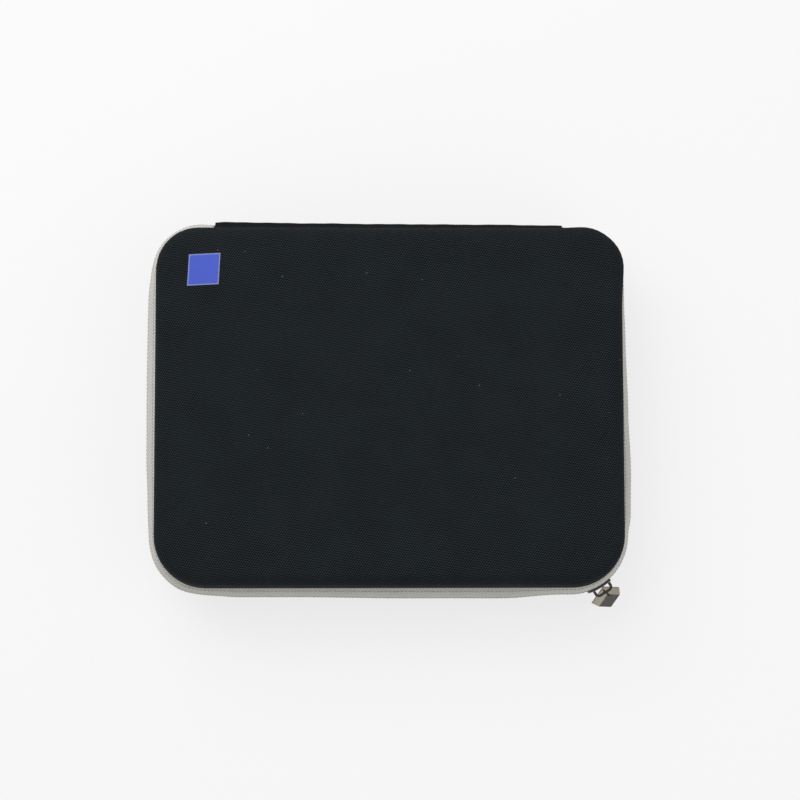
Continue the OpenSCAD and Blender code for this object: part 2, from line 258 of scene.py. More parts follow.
class Rim:
    """Points along the rim, clockwise from the middle of the back."""

    def __init__(self, step=1.6 * MM, turn=math.radians(2.5)):
        self.points, self.normals, self.along, self.marks = [], [], [], {}
        self.length = 0.0
        half_w, half_d = CASE_W / 2, CASE_D / 2
        self.line("back right", (0, half_d), (BACK_X, half_d), (0, 1), step)
        self.arc("back right corner", (BACK_X, BACK_Y), CORNER_BACK, 90, turn)
        self.line("right", (half_w, BACK_Y), (half_w, FRONT_Y), (1, 0), step)
        self.arc("front right corner", (FRONT_X, FRONT_Y), CORNER_FRONT, 0, turn)
        self.line("front", (FRONT_X, -half_d), (-FRONT_X, -half_d), (0, -1), step)
        self.arc("front left corner", (-FRONT_X, FRONT_Y), CORNER_FRONT, -90, turn)
        self.line("left", (-half_w, FRONT_Y), (-half_w, BACK_Y), (-1, 0), step)
        self.arc("back left corner", (-BACK_X, BACK_Y), CORNER_BACK, -180, turn)
        self.line("back left", (-BACK_X, half_d), (0, half_d), (0, 1), step)

    def line(self, name, start, end, normal, step):
        """A straight stretch."""
        start, end = Vector(start), Vector(end)
        length = (end - start).length
        count = max(1, round(length / step))
        places = [(start.lerp(end, k / count), Vector(normal)) for k in range(count)]
        self.add(name, places, length)

    def arc(self, name, centre, radius, start, turn):
        """A quarter turn, clockwise from a start angle in degrees."""
        count = round(math.pi / 2 / turn)
        places = []
        for k in range(count):
            a = math.radians(start) - math.pi / 2 * k / count
            normal = Vector((math.cos(a), math.sin(a)))
            places.append((Vector(centre) + radius * normal, normal))
        self.add(name, places, radius * math.pi / 2)

    def add(self, name, places, length):
        """Adds evenly spaced places; the stretch's end is left to the next stretch."""
        self.marks[name] = (self.length, self.length + length)
        for k, (point, normal) in enumerate(places):
            self.points.append(point)
            self.normals.append(normal)
            self.along.append(self.length + length * k / len(places))
        self.length += length


RIM = Rim()


def bulge_at(s):
    """How far the zip band stands out further than at the corners, which it does along each side."""
    def mid(name, share=0.5):
        a, b = RIM.marks[name]
        return a + (b - a) * share
    stations = [
        (0, 0),
        (mid("back right corner"), -0.9 * MM),
        (mid("right", 0.09), -0.5 * MM),
        (mid("right", 0.24), 0.1 * MM),
        (mid("right", 0.53), 1.3 * MM),
        (mid("right", 0.75), 2.5 * MM),
        (mid("right", 0.92), 2.0 * MM),
        (mid("front right corner", 0.03), 0.15 * MM),
        (mid("front", 0.02), 0.15 * MM),
        (mid("front", 0.19), 2.4 * MM),
        (mid("front", 0.47), 2.3 * MM),
        (mid("front", 0.75), 1.5 * MM),
        (mid("front", 0.91), 1.4 * MM),
        (mid("front left corner", 0.1), 0.1 * MM),
        (mid("front left corner", 0.35), 1.1 * MM),
        (mid("front left corner", 0.6), 1.0 * MM),
        (mid("front left corner", 0.9), 0.4 * MM),
        (mid("left", 0.14), 1.4 * MM),
        (mid("left", 0.3), 2.3 * MM),
        (mid("left", 0.6), 2.5 * MM),
        (mid("left", 0.75), 2.3 * MM),
        (mid("left", 0.9), 2.0 * MM),
        (mid("back left corner", 0.15), 0.2 * MM),
        (mid("back left corner", 0.5), 0.9 * MM),
        (mid("back left corner", 1), 1.3 * MM),
        (RIM.length - BACK_X + 4 * MM, 1.0 * MM),
        (RIM.length, 0),
    ]
    return blend_list(stations, s)


# Nodes and shader maths


def plug(tree, value, socket):
    """Links what comes from another node, or sets a constant."""
    if isinstance(value, Value):
        value = value.socket
    if isinstance(value, bpy.types.NodeSocket):
        tree.links.new(value, socket)
    elif socket.type == "RGBA" and len(value) == 3:
        socket.default_value = (*value, 1)
    else:
        socket.default_value = value


def plug_all(tree, node, values):
    """Plugs a node's first inputs in their order and gives its first output."""
    for socket, value in zip(node.inputs, values):
        plug(tree, value, socket)
    return node.outputs[0]


def add_node(tree, kind, settings=None, **values):
    """A new node with its settings, and its inputs plugged by their names."""
    node = tree.nodes.new(kind)
    for key, value in (settings or {}).items():
        setattr(node, key, value)
    for key, value in values.items():
        plug(tree, value, node.inputs[key.replace("_", " ")])
    return node


def add_maths(tree, operation, *values):
    return plug_all(tree, add_node(tree, "ShaderNodeMath", {"operation": operation}), values)


class Value:
    """A shader socket that makes a Math node each time it is worked with."""

    def __init__(self, shader, socket):
        self.shader, self.socket = shader, socket

    def __add__(self, other):
        return self.shader.maths("ADD", self, other)

    __radd__ = __add__

    def __mul__(self, other):
        return self.shader.maths("MULTIPLY", self, other)

    __rmul__ = __mul__

    def __sub__(self, other):
        return self.shader.maths("SUBTRACT", self, other)

    def __rsub__(self, other):
        return self.shader.maths("SUBTRACT", other, self)

    def sin(self):
        return self.shader.maths("SINE", self)

    def abs(self):
        return self.shader.maths("ABSOLUTE", self)

    def ramp(self, low, high):
        """0 below low, 1 above high, smooth between them."""
        node = self.shader.node("ShaderNodeMapRange", {"interpolation_type": "SMOOTHSTEP"},
                                Value=self, From_Min=low, From_Max=high)
        return Value(self.shader, node.outputs["Result"])


# The factor and the two colours of a Mix node that is set to colours
MIX_COLOURS = (0, 6, 7)


class Shader:
    """A material with one Principled shader, whose plain settings go on its own sockets."""

    def __init__(self, name, **settings):
        self.material = bpy.data.materials.new(name)
        self.material.use_nodes = True
        self.tree = self.material.node_tree
        self.surface = self.tree.nodes["Principled BSDF"]
        for key, value in settings.items():
            socket = self.surface.inputs[key.replace("_", " ")]
            socket.default_value = (*value, 1) if hasattr(value, "__len__") else value

    def node(self, kind, settings=None, **values):
        return add_node(self.tree, kind, settings, **values)

    def maths(self, operation, *values):
        return Value(self, add_maths(self.tree, operation, *values))

    def place(self, uv=None):
        """The point's place: on the object, or unrolled along the cloth."""
        if uv:
            return self.node("ShaderNodeUVMap", {"uv_map": uv}).outputs["UV"]
        return self.node("ShaderNodeTexCoord").outputs["Object"]

    def parts(self, vector):
        """The x, y and z of a place."""
        node = self.node("ShaderNodeSeparateXYZ", Vector=vector)
        return [Value(self, socket) for socket in node.outputs]

    def attribute(self, name):
        return Value(self, self.node("ShaderNodeAttribute", {"attribute_name": name}).outputs["Fac"])

    def noise(self, vector, size, detail=2.0, rough=0.5, stretch=None):
        """Soft noise round 0.5, whose spots have about that size."""
        if stretch is not None:
            scaled = self.node("ShaderNodeVectorMath", {"operation": "MULTIPLY"})
            vector = plug_all(self.tree, scaled, (vector, stretch))
        node = self.node("ShaderNodeTexNoise", Vector=vector, Scale=1 / size, Detail=detail,
                         Roughness=rough)
        return Value(self, node.outputs["Fac"])

    def cells(self, vector, size):
        """Distance from the nearest of many scattered points, as a share of their spacing."""
        node = self.node("ShaderNodeTexVoronoi", Vector=vector, Scale=1 / size)
        return Value(self, node.outputs["Distance"])

    def mix(self, factor, low, high):
        """A colour between two others."""
        node = self.node("ShaderNodeMix", {"data_type": "RGBA"})
        for index, value in zip(MIX_COLOURS, (factor, low, high)):
            plug(self.tree, value, node.inputs[index])
        return node.outputs[2]

    def paint(self, **values):
        for key, value in values.items():
            plug(self.tree, value, self.surface.inputs[key.replace("_", " ")])

    def bump(self, height, depth):
        """Raises the surface by depth where height is 1."""
        node = self.node("ShaderNodeBump", Height=height, Distance=depth, Strength=1.0)
        self.paint(Normal=node.outputs["Normal"])


def lighter(colour, share):
    """The colour times a share: darker below 1 and lighter above it."""
    return tuple(c * share for c in colour)


def woven(u, v, pitch):
    """Height of a plain weave of round yarns, as dots that alternate like a draughtboard."""
    a = (u * (math.pi / pitch)).sin()
    b = (v * (math.pi / pitch)).sin()
    return a * b * 0.5 + 0.5


def dotted(u, v, pitch):
    """Height of a coarse weave whose dots stand in slanting rows."""
    rows = ((u * 0.16 + v * 0.79) * (2 * math.pi / pitch)).sin()
    slant = ((u * 0.78 - v * 0.56) * (2 * math.pi / pitch)).sin()
    return rows * 0.21 + slant * 0.29 + 0.5


def ribbed(u, pitch):
    """Height of round ribs, across u."""
    return (u * (math.pi / pitch)).sin().abs()


# Finishes


def sizes():
    """The scene's lengths of the finish."""
    return bpy.context.scene.case_sizes


def colours():
    """The scene's colours of the finish."""
    return bpy.context.scene.case_colours


FINISHES = {}


def finish_once(make):
    """Makes a finish the first time that it is asked for, and then gives the same one."""
    def given():
        if make.__name__ not in FINISHES:
            FINISHES[make.__name__] = make().material
        return FINISHES[make.__name__]
    return given


def outer_cloth_finish(name, colour, print_colour=None):
    """Coarse weave with slanting rows of dots, lint and a few pale specks, or a print on that cloth; the
    dots carry a painted highlight and the gaps painted shade.
    """
    s = Shader(name, Specular_IOR_Level=0.06)
    place = s.place()
    u, v, _ = s.parts(s.place("cloth"))
    wander = s.noise(place, 3 * MM, 2) * (0.7 * MM)
    weave = dotted(u + wander, v - wander, sizes().yarn)
    strand = s.noise(place, 0.35 * MM, 2)
    blotch = s.noise(place, 26 * MM, 3)
    speck = s.cells(place, 12 * MM).ramp(0.032, 0.018)
    lint = s.noise(place, 1.6 * MM, 3, 0.6).ramp(0.62, 0.78)
    if print_colour is None:
        # The weave's share of this tone is painted light: painted highlights on the yarn tops and painted
        # shade between them; strand and blotch are the cloth's own uneven tone.
        shade = weave.ramp(0.2, 0.95) * 0.9 + strand * 0.2 + blotch * 0.2 - 0.12
        tone = s.mix(shade, lighter(colour, 0.05), lighter(colour, 6.0))
        tone = s.mix(lint * 0.3, tone, (0.035, 0.036, 0.036))
        tone = s.mix(speck * 0.6, tone, (0.30, 0.30, 0.29))
    else:
        # The weave's share here is also a painted highlight on the yarn tops and painted shade between
        # them.
        shade = weave * 0.35 + strand * 0.2 + blotch * 0.5
        tone = s.mix(shade, lighter(print_colour, 0.82), lighter(print_colour, 1.16))
        worn = (weave.ramp(0.15, 0.0) * s.noise(place, 2.2 * MM, 2).ramp(0.42, 0.7))
        tone = s.mix(worn * 0.5, tone, colour)
        # Painted highlight: the print's marked edge is painted a lighter blue grey.
        tone = s.mix(s.attribute("print_edge_highlight").ramp(0.3, 0.8) * 0.55, tone, (0.42, 0.44, 0.62))
    s.paint(Base_Color=tone, Roughness=0.72 + strand * 0.2)
    s.bump(weave * 0.9 + strand * 0.3, 0.24 * MM if print_colour is None else 0.1 * MM)
    return s


@finish_once
def shell_cloth():
    return outer_cloth_finish("shell_cloth", colours().cloth)


@finish_once
def patch_print():
    return outer_cloth_finish("patch_print", colours().cloth, colours().patch)


@finish_once
def spine_cloth():
    """Finer black cloth of the hinge, with the yarns running along it."""
    s = Shader("spine_cloth", Specular_IOR_Level=0.09)
    place = s.place()
    u, v, _ = s.parts(s.place("cloth"))
    weave = woven(u, v, 0.5 * MM)
    strand = s.noise(place, 0.3 * MM, 2)
    blotch = s.noise(place, 14 * MM, 3)
    tone = s.mix(weave * 0.4 + strand * 0.25 + blotch * 0.4, (0.003, 0.0035, 0.004),
                 (0.011, 0.012, 0.0125))
    s.paint(Base_Color=tone, Roughness=0.75 + strand * 0.2)
    s.bump(weave * 0.8 + strand * 0.4, 0.12 * MM)
    return s


@finish_once
def tape_twill():
    """Pale twill: fine slanting ribs, a denser woven edge and a little grime."""
    s = Shader("tape_twill", Specular_IOR_Level=0.3, Sheen_Weight=0.15, Sheen_Roughness=0.4)
    place = s.place()
    u, v, _ = s.parts(s.place("cloth"))
    slant = ((u - v * 0.8) * (2 * math.pi / sizes().twill)).sin() * 0.5 + 0.5
    picks = (v * (2 * math.pi / (0.62 * MM))).sin() * 0.5 + 0.5
    thread = s.noise(place, 0.3 * MM, 2)
    grime = s.noise(place, 17 * MM, 4, 0.6)
    edge = s.attribute("selvedge")
    colour = colours().tape
    shade = slant * 0.6 + picks * 0.1 + thread * 0.25 + grime * 0.25 - 0.1
    tone = s.mix(shade, lighter(colour, 0.62), lighter(colour, 1.3))
    tone = s.mix(edge * 0.4, tone, lighter(colour, 0.5))
    tone = s.mix(grime.ramp(0.58, 0.8) * 0.2, tone, (0.34, 0.29, 0.22))
    s.paint(Base_Color=tone, Roughness=0.78 + thread * 0.2)
    s.bump(slant * 0.7 + picks * 0.3 + thread * 0.35, 0.16 * MM)
    return s


@finish_once
def stitch_thread():
    """Twisted sewing thread in the tape's own colour."""
    s = Shader("stitch_thread", Specular_IOR_Level=0.35, Sheen_Weight=0.1)
    place = s.place()
    twist = s.noise(place, 0.25 * MM, 2)
    patch = s.noise(place, 9 * MM, 2)
    s.paint(Base_Color=s.mix(twist * 0.6 + patch * 0.4, (0.34, 0.325, 0.30), (0.66, 0.64, 0.60)),
            Roughness=0.6 + twist * 0.3)
    s.bump(twist, 0.06 * MM)
    return s


def grained(name, grain, tones, rough, depth, **settings):
    """A plain finish whose tone, gloss and height follow one grain of (size, detail, roughness)."""
    s = Shader(name, **settings)
    height = s.noise(s.place(), *grain)
    s.paint(Base_Color=s.mix(height, *tones), Roughness=rough[0] + height * rough[1])
    s.bump(height, depth)
    return s


@finish_once
def dark_thread():
    return grained("dark_thread", (0.25 * MM, 2), ((0.008, 0.008, 0.009), (0.05, 0.05, 0.052)),
                   (0.55, 0.3), 0.06 * MM, Specular_IOR_Level=0.35)


@finish_once
def net_yarn():
    return grained("net_yarn", (0.3 * MM, 2), ((0.006, 0.006, 0.007), (0.034, 0.034, 0.037)),
                   (0.6, 0.25), 0.08 * MM, Specular_IOR_Level=0.35, Sheen_Weight=0.1)


@finish_once
def stop_plating():
    return grained("stop_plating", (0.8 * MM, 3, 0.6), ((0.07, 0.066, 0.062), (0.21, 0.195, 0.18)),
                   (0.3, 0.35), 0.04 * MM, Metallic=1.0)


@finish_once
def lining_knit():
    """Brushed knit of the lining: short soft fibres over fine loops."""
    s = Shader("lining_knit", Specular_IOR_Level=0.25, Sheen_Weight=0.3, Sheen_Roughness=0.45)
    place = s.place()
    loops = s.cells(place, 0.9 * MM)
    fibre = s.noise(place, 0.5 * MM, 3, 0.65)
    pile = s.noise(place, 12 * MM, 3, 0.6)
    tone = s.mix(fibre * 0.5 + loops * 0.2 + pile * 0.4, (0.012, 0.012, 0.014),
                 (0.062, 0.062, 0.067))
    s.paint(Base_Color=tone, Roughness=0.8 + fibre * 0.2)
    s.bump(fibre * 0.7 + (1 - loops) * 0.5, 0.18 * MM)
    return s


@finish_once
def binding_rib():
    """Ribbed binding tape round the rims and the pocket."""
    s = Shader("binding_rib", Specular_IOR_Level=0.35, Sheen_Weight=0.1)
    place = s.place()
    x, y, _ = s.parts(place)
    ribs = ribbed(x + y, 0.8 * MM) * 0.6 + ribbed(x - y, 0.8 * MM) * 0.4
    fibre = s.noise(place, 0.4 * MM, 2)
    worn = s.noise(place, 15 * MM, 3)
    s.paint(Base_Color=s.mix(ribs * 0.5 + fibre * 0.25 + worn * 0.3, (0.006, 0.006, 0.007),
                             (0.034, 0.034, 0.036)),
            Roughness=0.7 + fibre * 0.2)
    s.bump(ribs + fibre * 0.3, 0.12 * MM)
    return s


@finish_once
def cell_foam():
    """Closed-cell foam, with the fine open pores of a cut face."""
    s = Shader("cell_foam", Specular_IOR_Level=0.3)
    place = s.place()
    pores = s.cells(place, 0.85 * MM).ramp(0.05, 0.55)
    grain = s.noise(place, 0.45 * MM, 3, 0.6)
    cloud = s.noise(place, 24 * MM, 3)
    s.paint(Base_Color=s.mix(pores * 0.4 + grain * 0.3 + cloud * 0.35, (0.016, 0.016, 0.018),
                             (0.066, 0.066, 0.071)),
            Roughness=0.82 + grain * 0.15)
    s.bump(pores * 0.8 + grain * 0.4, 0.2 * MM)
    return s


@finish_once
def woven_elastic():
    """Elastic with cords that run along it and a fine cross weave."""
    s = Shader("woven_elastic", Specular_IOR_Level=0.35, Sheen_Weight=0.1)
    place = s.place()
    u, v, _ = s.parts(s.place("cloth"))
    cords = ribbed(v, 1.25 * MM)
    cross = ribbed(u, 0.7 * MM)
    fibre = s.noise(place, 0.35 * MM, 2)
    s.paint(Base_Color=s.mix(cords * 0.35 + cross * 0.3 + fibre * 0.3, (0.005, 0.005, 0.006),
                             (0.040, 0.040, 0.043)),
            Roughness=0.62 + fibre * 0.25)
    s.bump(cords * 0.8 + cross * 0.4 + fibre * 0.2, 0.16 * MM)
    return s


@finish_once
def coil_nylon():
    """Grey nylon of the zip's coil, slightly cloudy."""
    s = Shader("coil_nylon", IOR=1.53, Subsurface_Weight=0.05)
    place = s.place()
    cloud = s.noise(place, 5 * MM, 3)
    rub = s.noise(place, 0.6 * MM, 2)
    s.paint(Base_Color=s.mix(cloud * 0.6 + rub * 0.4, (0.105, 0.098, 0.088), (0.27, 0.255, 0.225)),
            Roughness=0.32 + rub * 0.3)
    s.bump(rub, 0.03 * MM)
    return s


def worn_and_highlit_metal(name, faces, under, rough):
    """Dark plating with brass along the edges, partly rubbed through and partly a painted edge highlight;
    faces gives its colours.
    """
    s = Shader(name, Metallic=1.0, Coat_Roughness=0.12)
    place = s.place()
    edge = s.attribute("worn")
    cloud = s.noise(place, 3.5 * MM, 3)
    grain = s.noise(place, 0.5 * MM, 3, 0.65)
    brushed = s.noise(place, 1.0 * MM, 2, 0.5, stretch=(1.0, 6.0, 1.0))
    # Brass along the marked edges: partly rubbed plating and partly a painted highlight.
    rubbed_and_glinting = (edge * 0.8 + (grain - 0.5) * 0.8 + (cloud - 0.5) * 0.5).ramp(0.4, 0.85)
    shade = cloud * 0.5 + grain * 0.3 + brushed * 0.25
    tone = None
    for mark, colour in faces:
        plain = s.mix(shade, lighter(colour, 0.6), lighter(colour, 1.4))
        tone = plain if tone is None else s.mix(s.attribute(mark), tone, plain)
    s.paint(Base_Color=s.mix(rubbed_and_glinting, tone, under),
            Roughness=rough + grain * 0.14 - rubbed_and_glinting * 0.06,
            Coat_Weight=(1 - rubbed_and_glinting) * 0.25)
    s.bump(grain * 0.5 + brushed * 0.6 + rubbed_and_glinting * 0.3, 0.03 * MM)
    return s


@finish_once
def slider_plating():
    return worn_and_highlit_metal("slider_plating", (("", colours().metal),), (0.30, 0.27, 0.22), 0.26)


@finish_once
def pull_plating():
    # The bevels' lighter colour is a painted reflection.
    faces = (("", colours().pull), ("bevel_reflection", colours().bevel_reflection), ("link", colours().metal))
    return worn_and_highlit_metal("pull_plating", faces, (0.62, 0.55, 0.40), 0.27)


def floor_paper():
    """White paper, which the camera sees nearly white and with a soft shadow on it."""
    s = Shader("floor_paper", Roughness=0.9, Specular_IOR_Level=0.1)
    grain = s.noise(s.place(), 6 * MM, 3)
    s.paint(Base_Color=s.mix(grain, (0.90, 0.90, 0.90), (0.93, 0.93, 0.93)))
    s.bump(grain, 0.02 * MM)
    glow = s.node("ShaderNodeEmission", Color=(1, 1, 1), Strength=1.0)
    seen = Value(s, s.node("ShaderNodeLightPath").outputs["Is Camera Ray"])
    blend = plug_all(s.tree, s.node("ShaderNodeMixShader"),
                     (seen * 0.72, s.surface.outputs[0], glow.outputs[0]))
    plug(s.tree, blend, s.tree.nodes["Material Output"].inputs["Surface"])
    return s.material


# Shapes shared by several pieces

EDGE_STEPS = 10


def rim_station(s):
    """The point and the outward direction at the length s along the rim."""
    s = s % RIM.length
    k = bisect.bisect_right(RIM.along, s) - 1
    after = (k + 1) % len(RIM.along)
    end = RIM.along[after] if after else RIM.length
    t = (s - RIM.along[k]) / (end - RIM.along[k])
    point = RIM.points[k].lerp(RIM.points[after], t)
    return point, RIM.normals[k].lerp(RIM.normals[after], t).normalized()


def stations(start, end, step):
    """Evenly spaced lengths from start to end, both of them included."""
    count = max(2, round((end - start) / step))
    return [start + (end - start) * k / count for k in range(count + 1)]


def stand(s, out, up):
    """The place that far outward from the rim's line, at that height."""
    point, normal = rim_station(s)
    place = point + normal * out
    return Vector((place.x, place.y, up))


def turn_over(verts):
    """What is made for the base, turned over onto the lid."""
    return [Vector((v[0], v[1], TOTAL_H - v[2])) for v in verts]


def skin_profile(depth, top, crest=0.0):
    """(inset, height, length of cloth) down the inside or outside of a shell, from its rim."""
    bend = EDGE_R - depth
    points = [(depth, top)]
    if crest:
        points = [(depth + crest, top), (depth + crest * 0.3, top - crest * 0.3), (depth, top - crest)]
    points += [(depth, RIM_LOW - RIM_BAND * k / 4) for k in range(1, 4)]
    points += [(depth + 0.04 * DRAFT, RIM_LOW - RIM_BAND),
               (depth + 0.35 * DRAFT, RIM_LOW - 1.5 * RIM_BAND)]
    for k in range(EDGE_STEPS + 1):
        a = math.pi / 2 * k / EDGE_STEPS
        points.append((CORE_IN - bend * math.cos(a), EDGE_R - bend * math.sin(a)))
    lengths = [0.0]
    for (a, b), (c, d) in zip(points, points[1:]):
        lengths.append(lengths[-1] + math.hypot(c - a, d - b))
    return [(i, z, s) for (i, z), s in zip(points, lengths)]


def crown_at(x, y):
    """Share of the crown at a place: 1 in the middle and 0 at the edge of the flat part."""
    a = max(0.0, 1 - (x / (CASE_W / 2 - CORE_IN)) ** 2)
    b = max(0.0, 1 - (y / (CASE_D / 2 - CORE_IN)) ** 2)
    return (a * b) ** 0.6


def no_puff(_):
    """A plain moulding is nowhere fuller."""
    return 0.0


def lid_puff(s):
    """How much fuller the lid's back right corner is than a plain moulding."""
    start, end = RIM.marks["back right corner"]
    return blend_list([(0, 0), (start - 20 * MM, 0), (start + 0.35 * (end - start), 1.1 * MM),
                       (start + 0.75 * (end - start), 1.6 * MM), (end + 26 * MM, 0),
                       (RIM.length, 0)], s)


# The floor's outer rings are a step apart, and the others lie at shares of the way out from its middle
FLOOR_STEP = 2.5 * MM
FLOOR_SHARES = (0.93, 0.85, 0.75, 0.64, 0.52, 0.4, 0.28, 0.16, 0.06)


def dish(places, depth, top, crown, crest, puff=no_puff):
    """One side of a shell: rings down from the rim and in over the floor to one middle point."""
    profile = skin_profile(depth, top, crest)
    floor, whole = profile[-1][1:]
    rim = [rim_station(s) for s in places]
    fullness = [puff(s) for s in places]
    verts, uvs = [], []
    for inset, height, run in profile:
        swell = math.sin(math.pi * min(1.0, run / whole)) ** 0.6
        for (point, normal), full in zip(rim, fullness):
            place = point - normal * (inset - full * swell)
            flat = point - normal * CORE_IN
            verts.append((place.x, place.y, height))
            uvs.append(tuple(flat + normal * (whole - run)))
    insets = [CORE_IN + FLOOR_STEP * k for k in range(1, 6)]
    spots = [[point - normal * inset for point, normal in rim] for inset in insets]
    spots += [[spot * share for spot in spots[-1]] for share in FLOOR_SHARES]
    for ring in spots:
        for spot in ring:
            verts.append((spot.x, spot.y, floor - crown * crown_at(spot.x, spot.y)))
            uvs.append(tuple(spot))
    verts.append((0, 0, floor - crown))
    uvs.append((0.0, 0.0))
    rows = len(profile) + len(spots)
    count = len(places)
    faces = grid_faces(rows, count, False, True)
    last = (rows - 1) * count
    middle = rows * count
    faces += [(last + k, last + (k + 1) % count, middle) for k in range(count)]
    return verts, uvs, faces


def shell_solid(name, outside, inside, material, crown=0.0, crest=0.6 * MM, top=None,
                over=False, puff=no_puff, step=4 * MM):
    """A tray of cloth between two depths, closed at its rim."""
    top = RIM_LOW if top is None else top
    places = stations(0, RIM.length, step)[:-1]
    outer, outer_uv, faces = dish(places, outside, top, crown, crest, puff)
    inner, inner_uv, inner_faces = dish(places, inside, top, crown, 0.0)
    shift = len(outer)
    faces += [tuple(shift + v for v in reversed(face)) for face in inner_faces]
    count = len(places)
    faces += [(k, (k + 1) % count, shift + (k + 1) % count, shift + k) for k in range(count)]
    verts = outer + inner
    if over:
        verts = turn_over(verts)
    return mesh_piece(name, verts, faces, material, uvs=outer_uv + inner_uv)


def rim_sweep(name, places, section_at, material, over=False, attribute=None, closed=False):
    """A closed section of (out, up, along the cloth, attribute) swept along the rim."""
    verts, uvs, marks = [], [], []
    for s in places:
        for out, up, run, mark in section_at(s):
            verts.append(stand(s, out, up))
            uvs.append((s, run))
            marks.append(mark)
    size = len(verts) // len(places)
    faces = grid_faces(len(places), size, True, True) if closed else tube_faces(len(places), size)
    if over:
        verts = turn_over(verts)
    obj = mesh_piece(name, verts, faces, material, uvs=uvs)
    if attribute:
        put_marks(obj.data, attribute, "POINT", marks)
    return obj


def offset_section(line, thick):
    """A closed section: a line of (out, up) and its copy, moved inward by a thickness."""
    outside, inside, run = [], [], 0.0
    for k, (out, up) in enumerate(line):
        before, after = line[max(0, k - 1)], line[min(len(line) - 1, k + 1)]
        along = Vector((after[0] - before[0], after[1] - before[1])).normalized()
        if k:
            run += math.hypot(out - line[k - 1][0], up - line[k - 1][1])
        outside.append((out, up, run))
        inside.append((out - along.y * thick, up + along.x * thick, run))
    return outside, inside[::-1]


def soft_block(name, low, high, rounding, material, cuts, flat, shape=None):
    """A box with rounded edges, cut finely enough to be shaped; flat gives a place on the cloth."""
    lines = []
    for axis in range(3):
        a, b = low[axis], high[axis]
        r = min(rounding, (b - a) / 2.001)
        inner = [a + r + (b - a - 2 * r) * k / cuts[axis] for k in range(cuts[axis] + 1)]
        lines.append([a, a + 0.35 * r] + inner + [b - 0.35 * r, b])
    last = [len(line) - 1 for line in lines]
    deep = [min(rounding, (high[axis] - low[axis]) / 2) for axis in range(3)]
    index, verts, uvs, faces = {}, [], [], []

    def vertex(key):
        if key not in index:
            index[key] = len(verts)
            place = Vector([lines[axis][key[axis]] for axis in range(3)])
            core = Vector([min(max(place[axis], low[axis] + deep[axis]), high[axis] - deep[axis])
                           for axis in range(3)])
            away = place - core
            if away.length > 1e-9:
                place = core + away.normalized() * min(deep)
            uvs.append(flat(place))
            verts.append(shape(place) if shape else place)
        return index[key]

    for axis in range(3):
        one, two = (axis + 1) % 3, (axis + 2) % 3
        for end in (0, last[axis]):
            for i in range(last[one]):
                for j in range(last[two]):
                    corners = []
                    for di, dj in ((0, 0), (1, 0), (1, 1), (0, 1)):
                        key = [0, 0, 0]
                        key[axis], key[one], key[two] = end, i + di, j + dj
                        corners.append(vertex(tuple(key)))
                    faces.append(tuple(corners))
    return mesh_piece(name, verts, faces, material, uvs=uvs)


# How far out from the middle a pad's rings lie, as shares of its flat part
PAD_SHARES = (0.04, 0.14, 0.26, 0.38, 0.5, 0.62, 0.74, 0.85, 0.93, 0.98)


def plan_slab(name, ring_at, low, high, rounding, material, swell=0.0):
    """A pad between two heights with a rounded edge; ring_at gives its outline at an inset."""
    rings = []
    for k in range(7):
        a = -math.pi / 2 + math.pi * k / 6
        middle = low + rounding if a <= 0 else high - rounding
        rings.append((ring_at(rounding * (1 - math.cos(a))), middle + rounding * math.sin(a)))
    inner, inmost = ring_at(rounding + 1 * MM), ring_at(rounding + 2 * MM)
    rows = [([(x * t, y * t) for x, y in inmost], low, -1) for t in PAD_SHARES]
    rows += [(inmost, low, -1), (inner, low, -1)]
    rows += [(ring, height, 0) for ring, height in rings]
    rows += [(inner, high, 0), (inmost, high, 0)]
    rows += [([(x * t, y * t) for x, y in inmost], high, 0) for t in reversed(PAD_SHARES)]
    verts = []
    for ring, height, side in rows:
        for spot in ring:
            verts.append((spot[0], spot[1], height + side * swell * crown_at(*spot)))
    count = len(inmost)
    faces = grid_faces(len(rows), count, False, True)
    uvs = [(v[0], v[1]) for v in verts] + [(0.0, 0.0)] * 2
    verts += [(0, 0, low - swell), (0, 0, high)]
    first, last = len(verts) - 2, len(verts) - 1
    end = (len(rows) - 1) * count
    for k in range(count):
        faces.append((k, (k + 1) % count, first))
        faces.append((end + k, end + (k + 1) % count, last))
    return mesh_piece(name, verts, faces, material, uvs=uvs)


# Repeats made with Geometry Nodes

YARN_SIDES = 4


def new_group(name, **inputs):
    """A group with the named inputs besides its geometry, and the outputs of its input node."""
    tree = bpy.data.node_groups.new(name, "GeometryNodeTree")
    for key, kind in {"Geometry": "Geometry", **inputs}.items():
        tree.interface.new_socket(name=key, in_out="INPUT", socket_type="NodeSocket" + kind)
    tree.interface.new_socket(name="Geometry", in_out="OUTPUT", socket_type="NodeSocketGeometry")
    return tree, add_node(tree, "NodeGroupInput").outputs


def end_group(tree, geometry, finish):
    """Ends a group with plain geometry in one finish."""
    real = add_node(tree, "GeometryNodeRealizeInstances", Geometry=geometry)
    painted = add_node(tree, "GeometryNodeSetMaterial", Geometry=real.outputs[0], Material=finish)
    add_node(tree, "NodeGroupOutput", Geometry=painted.outputs[0])
    return tree


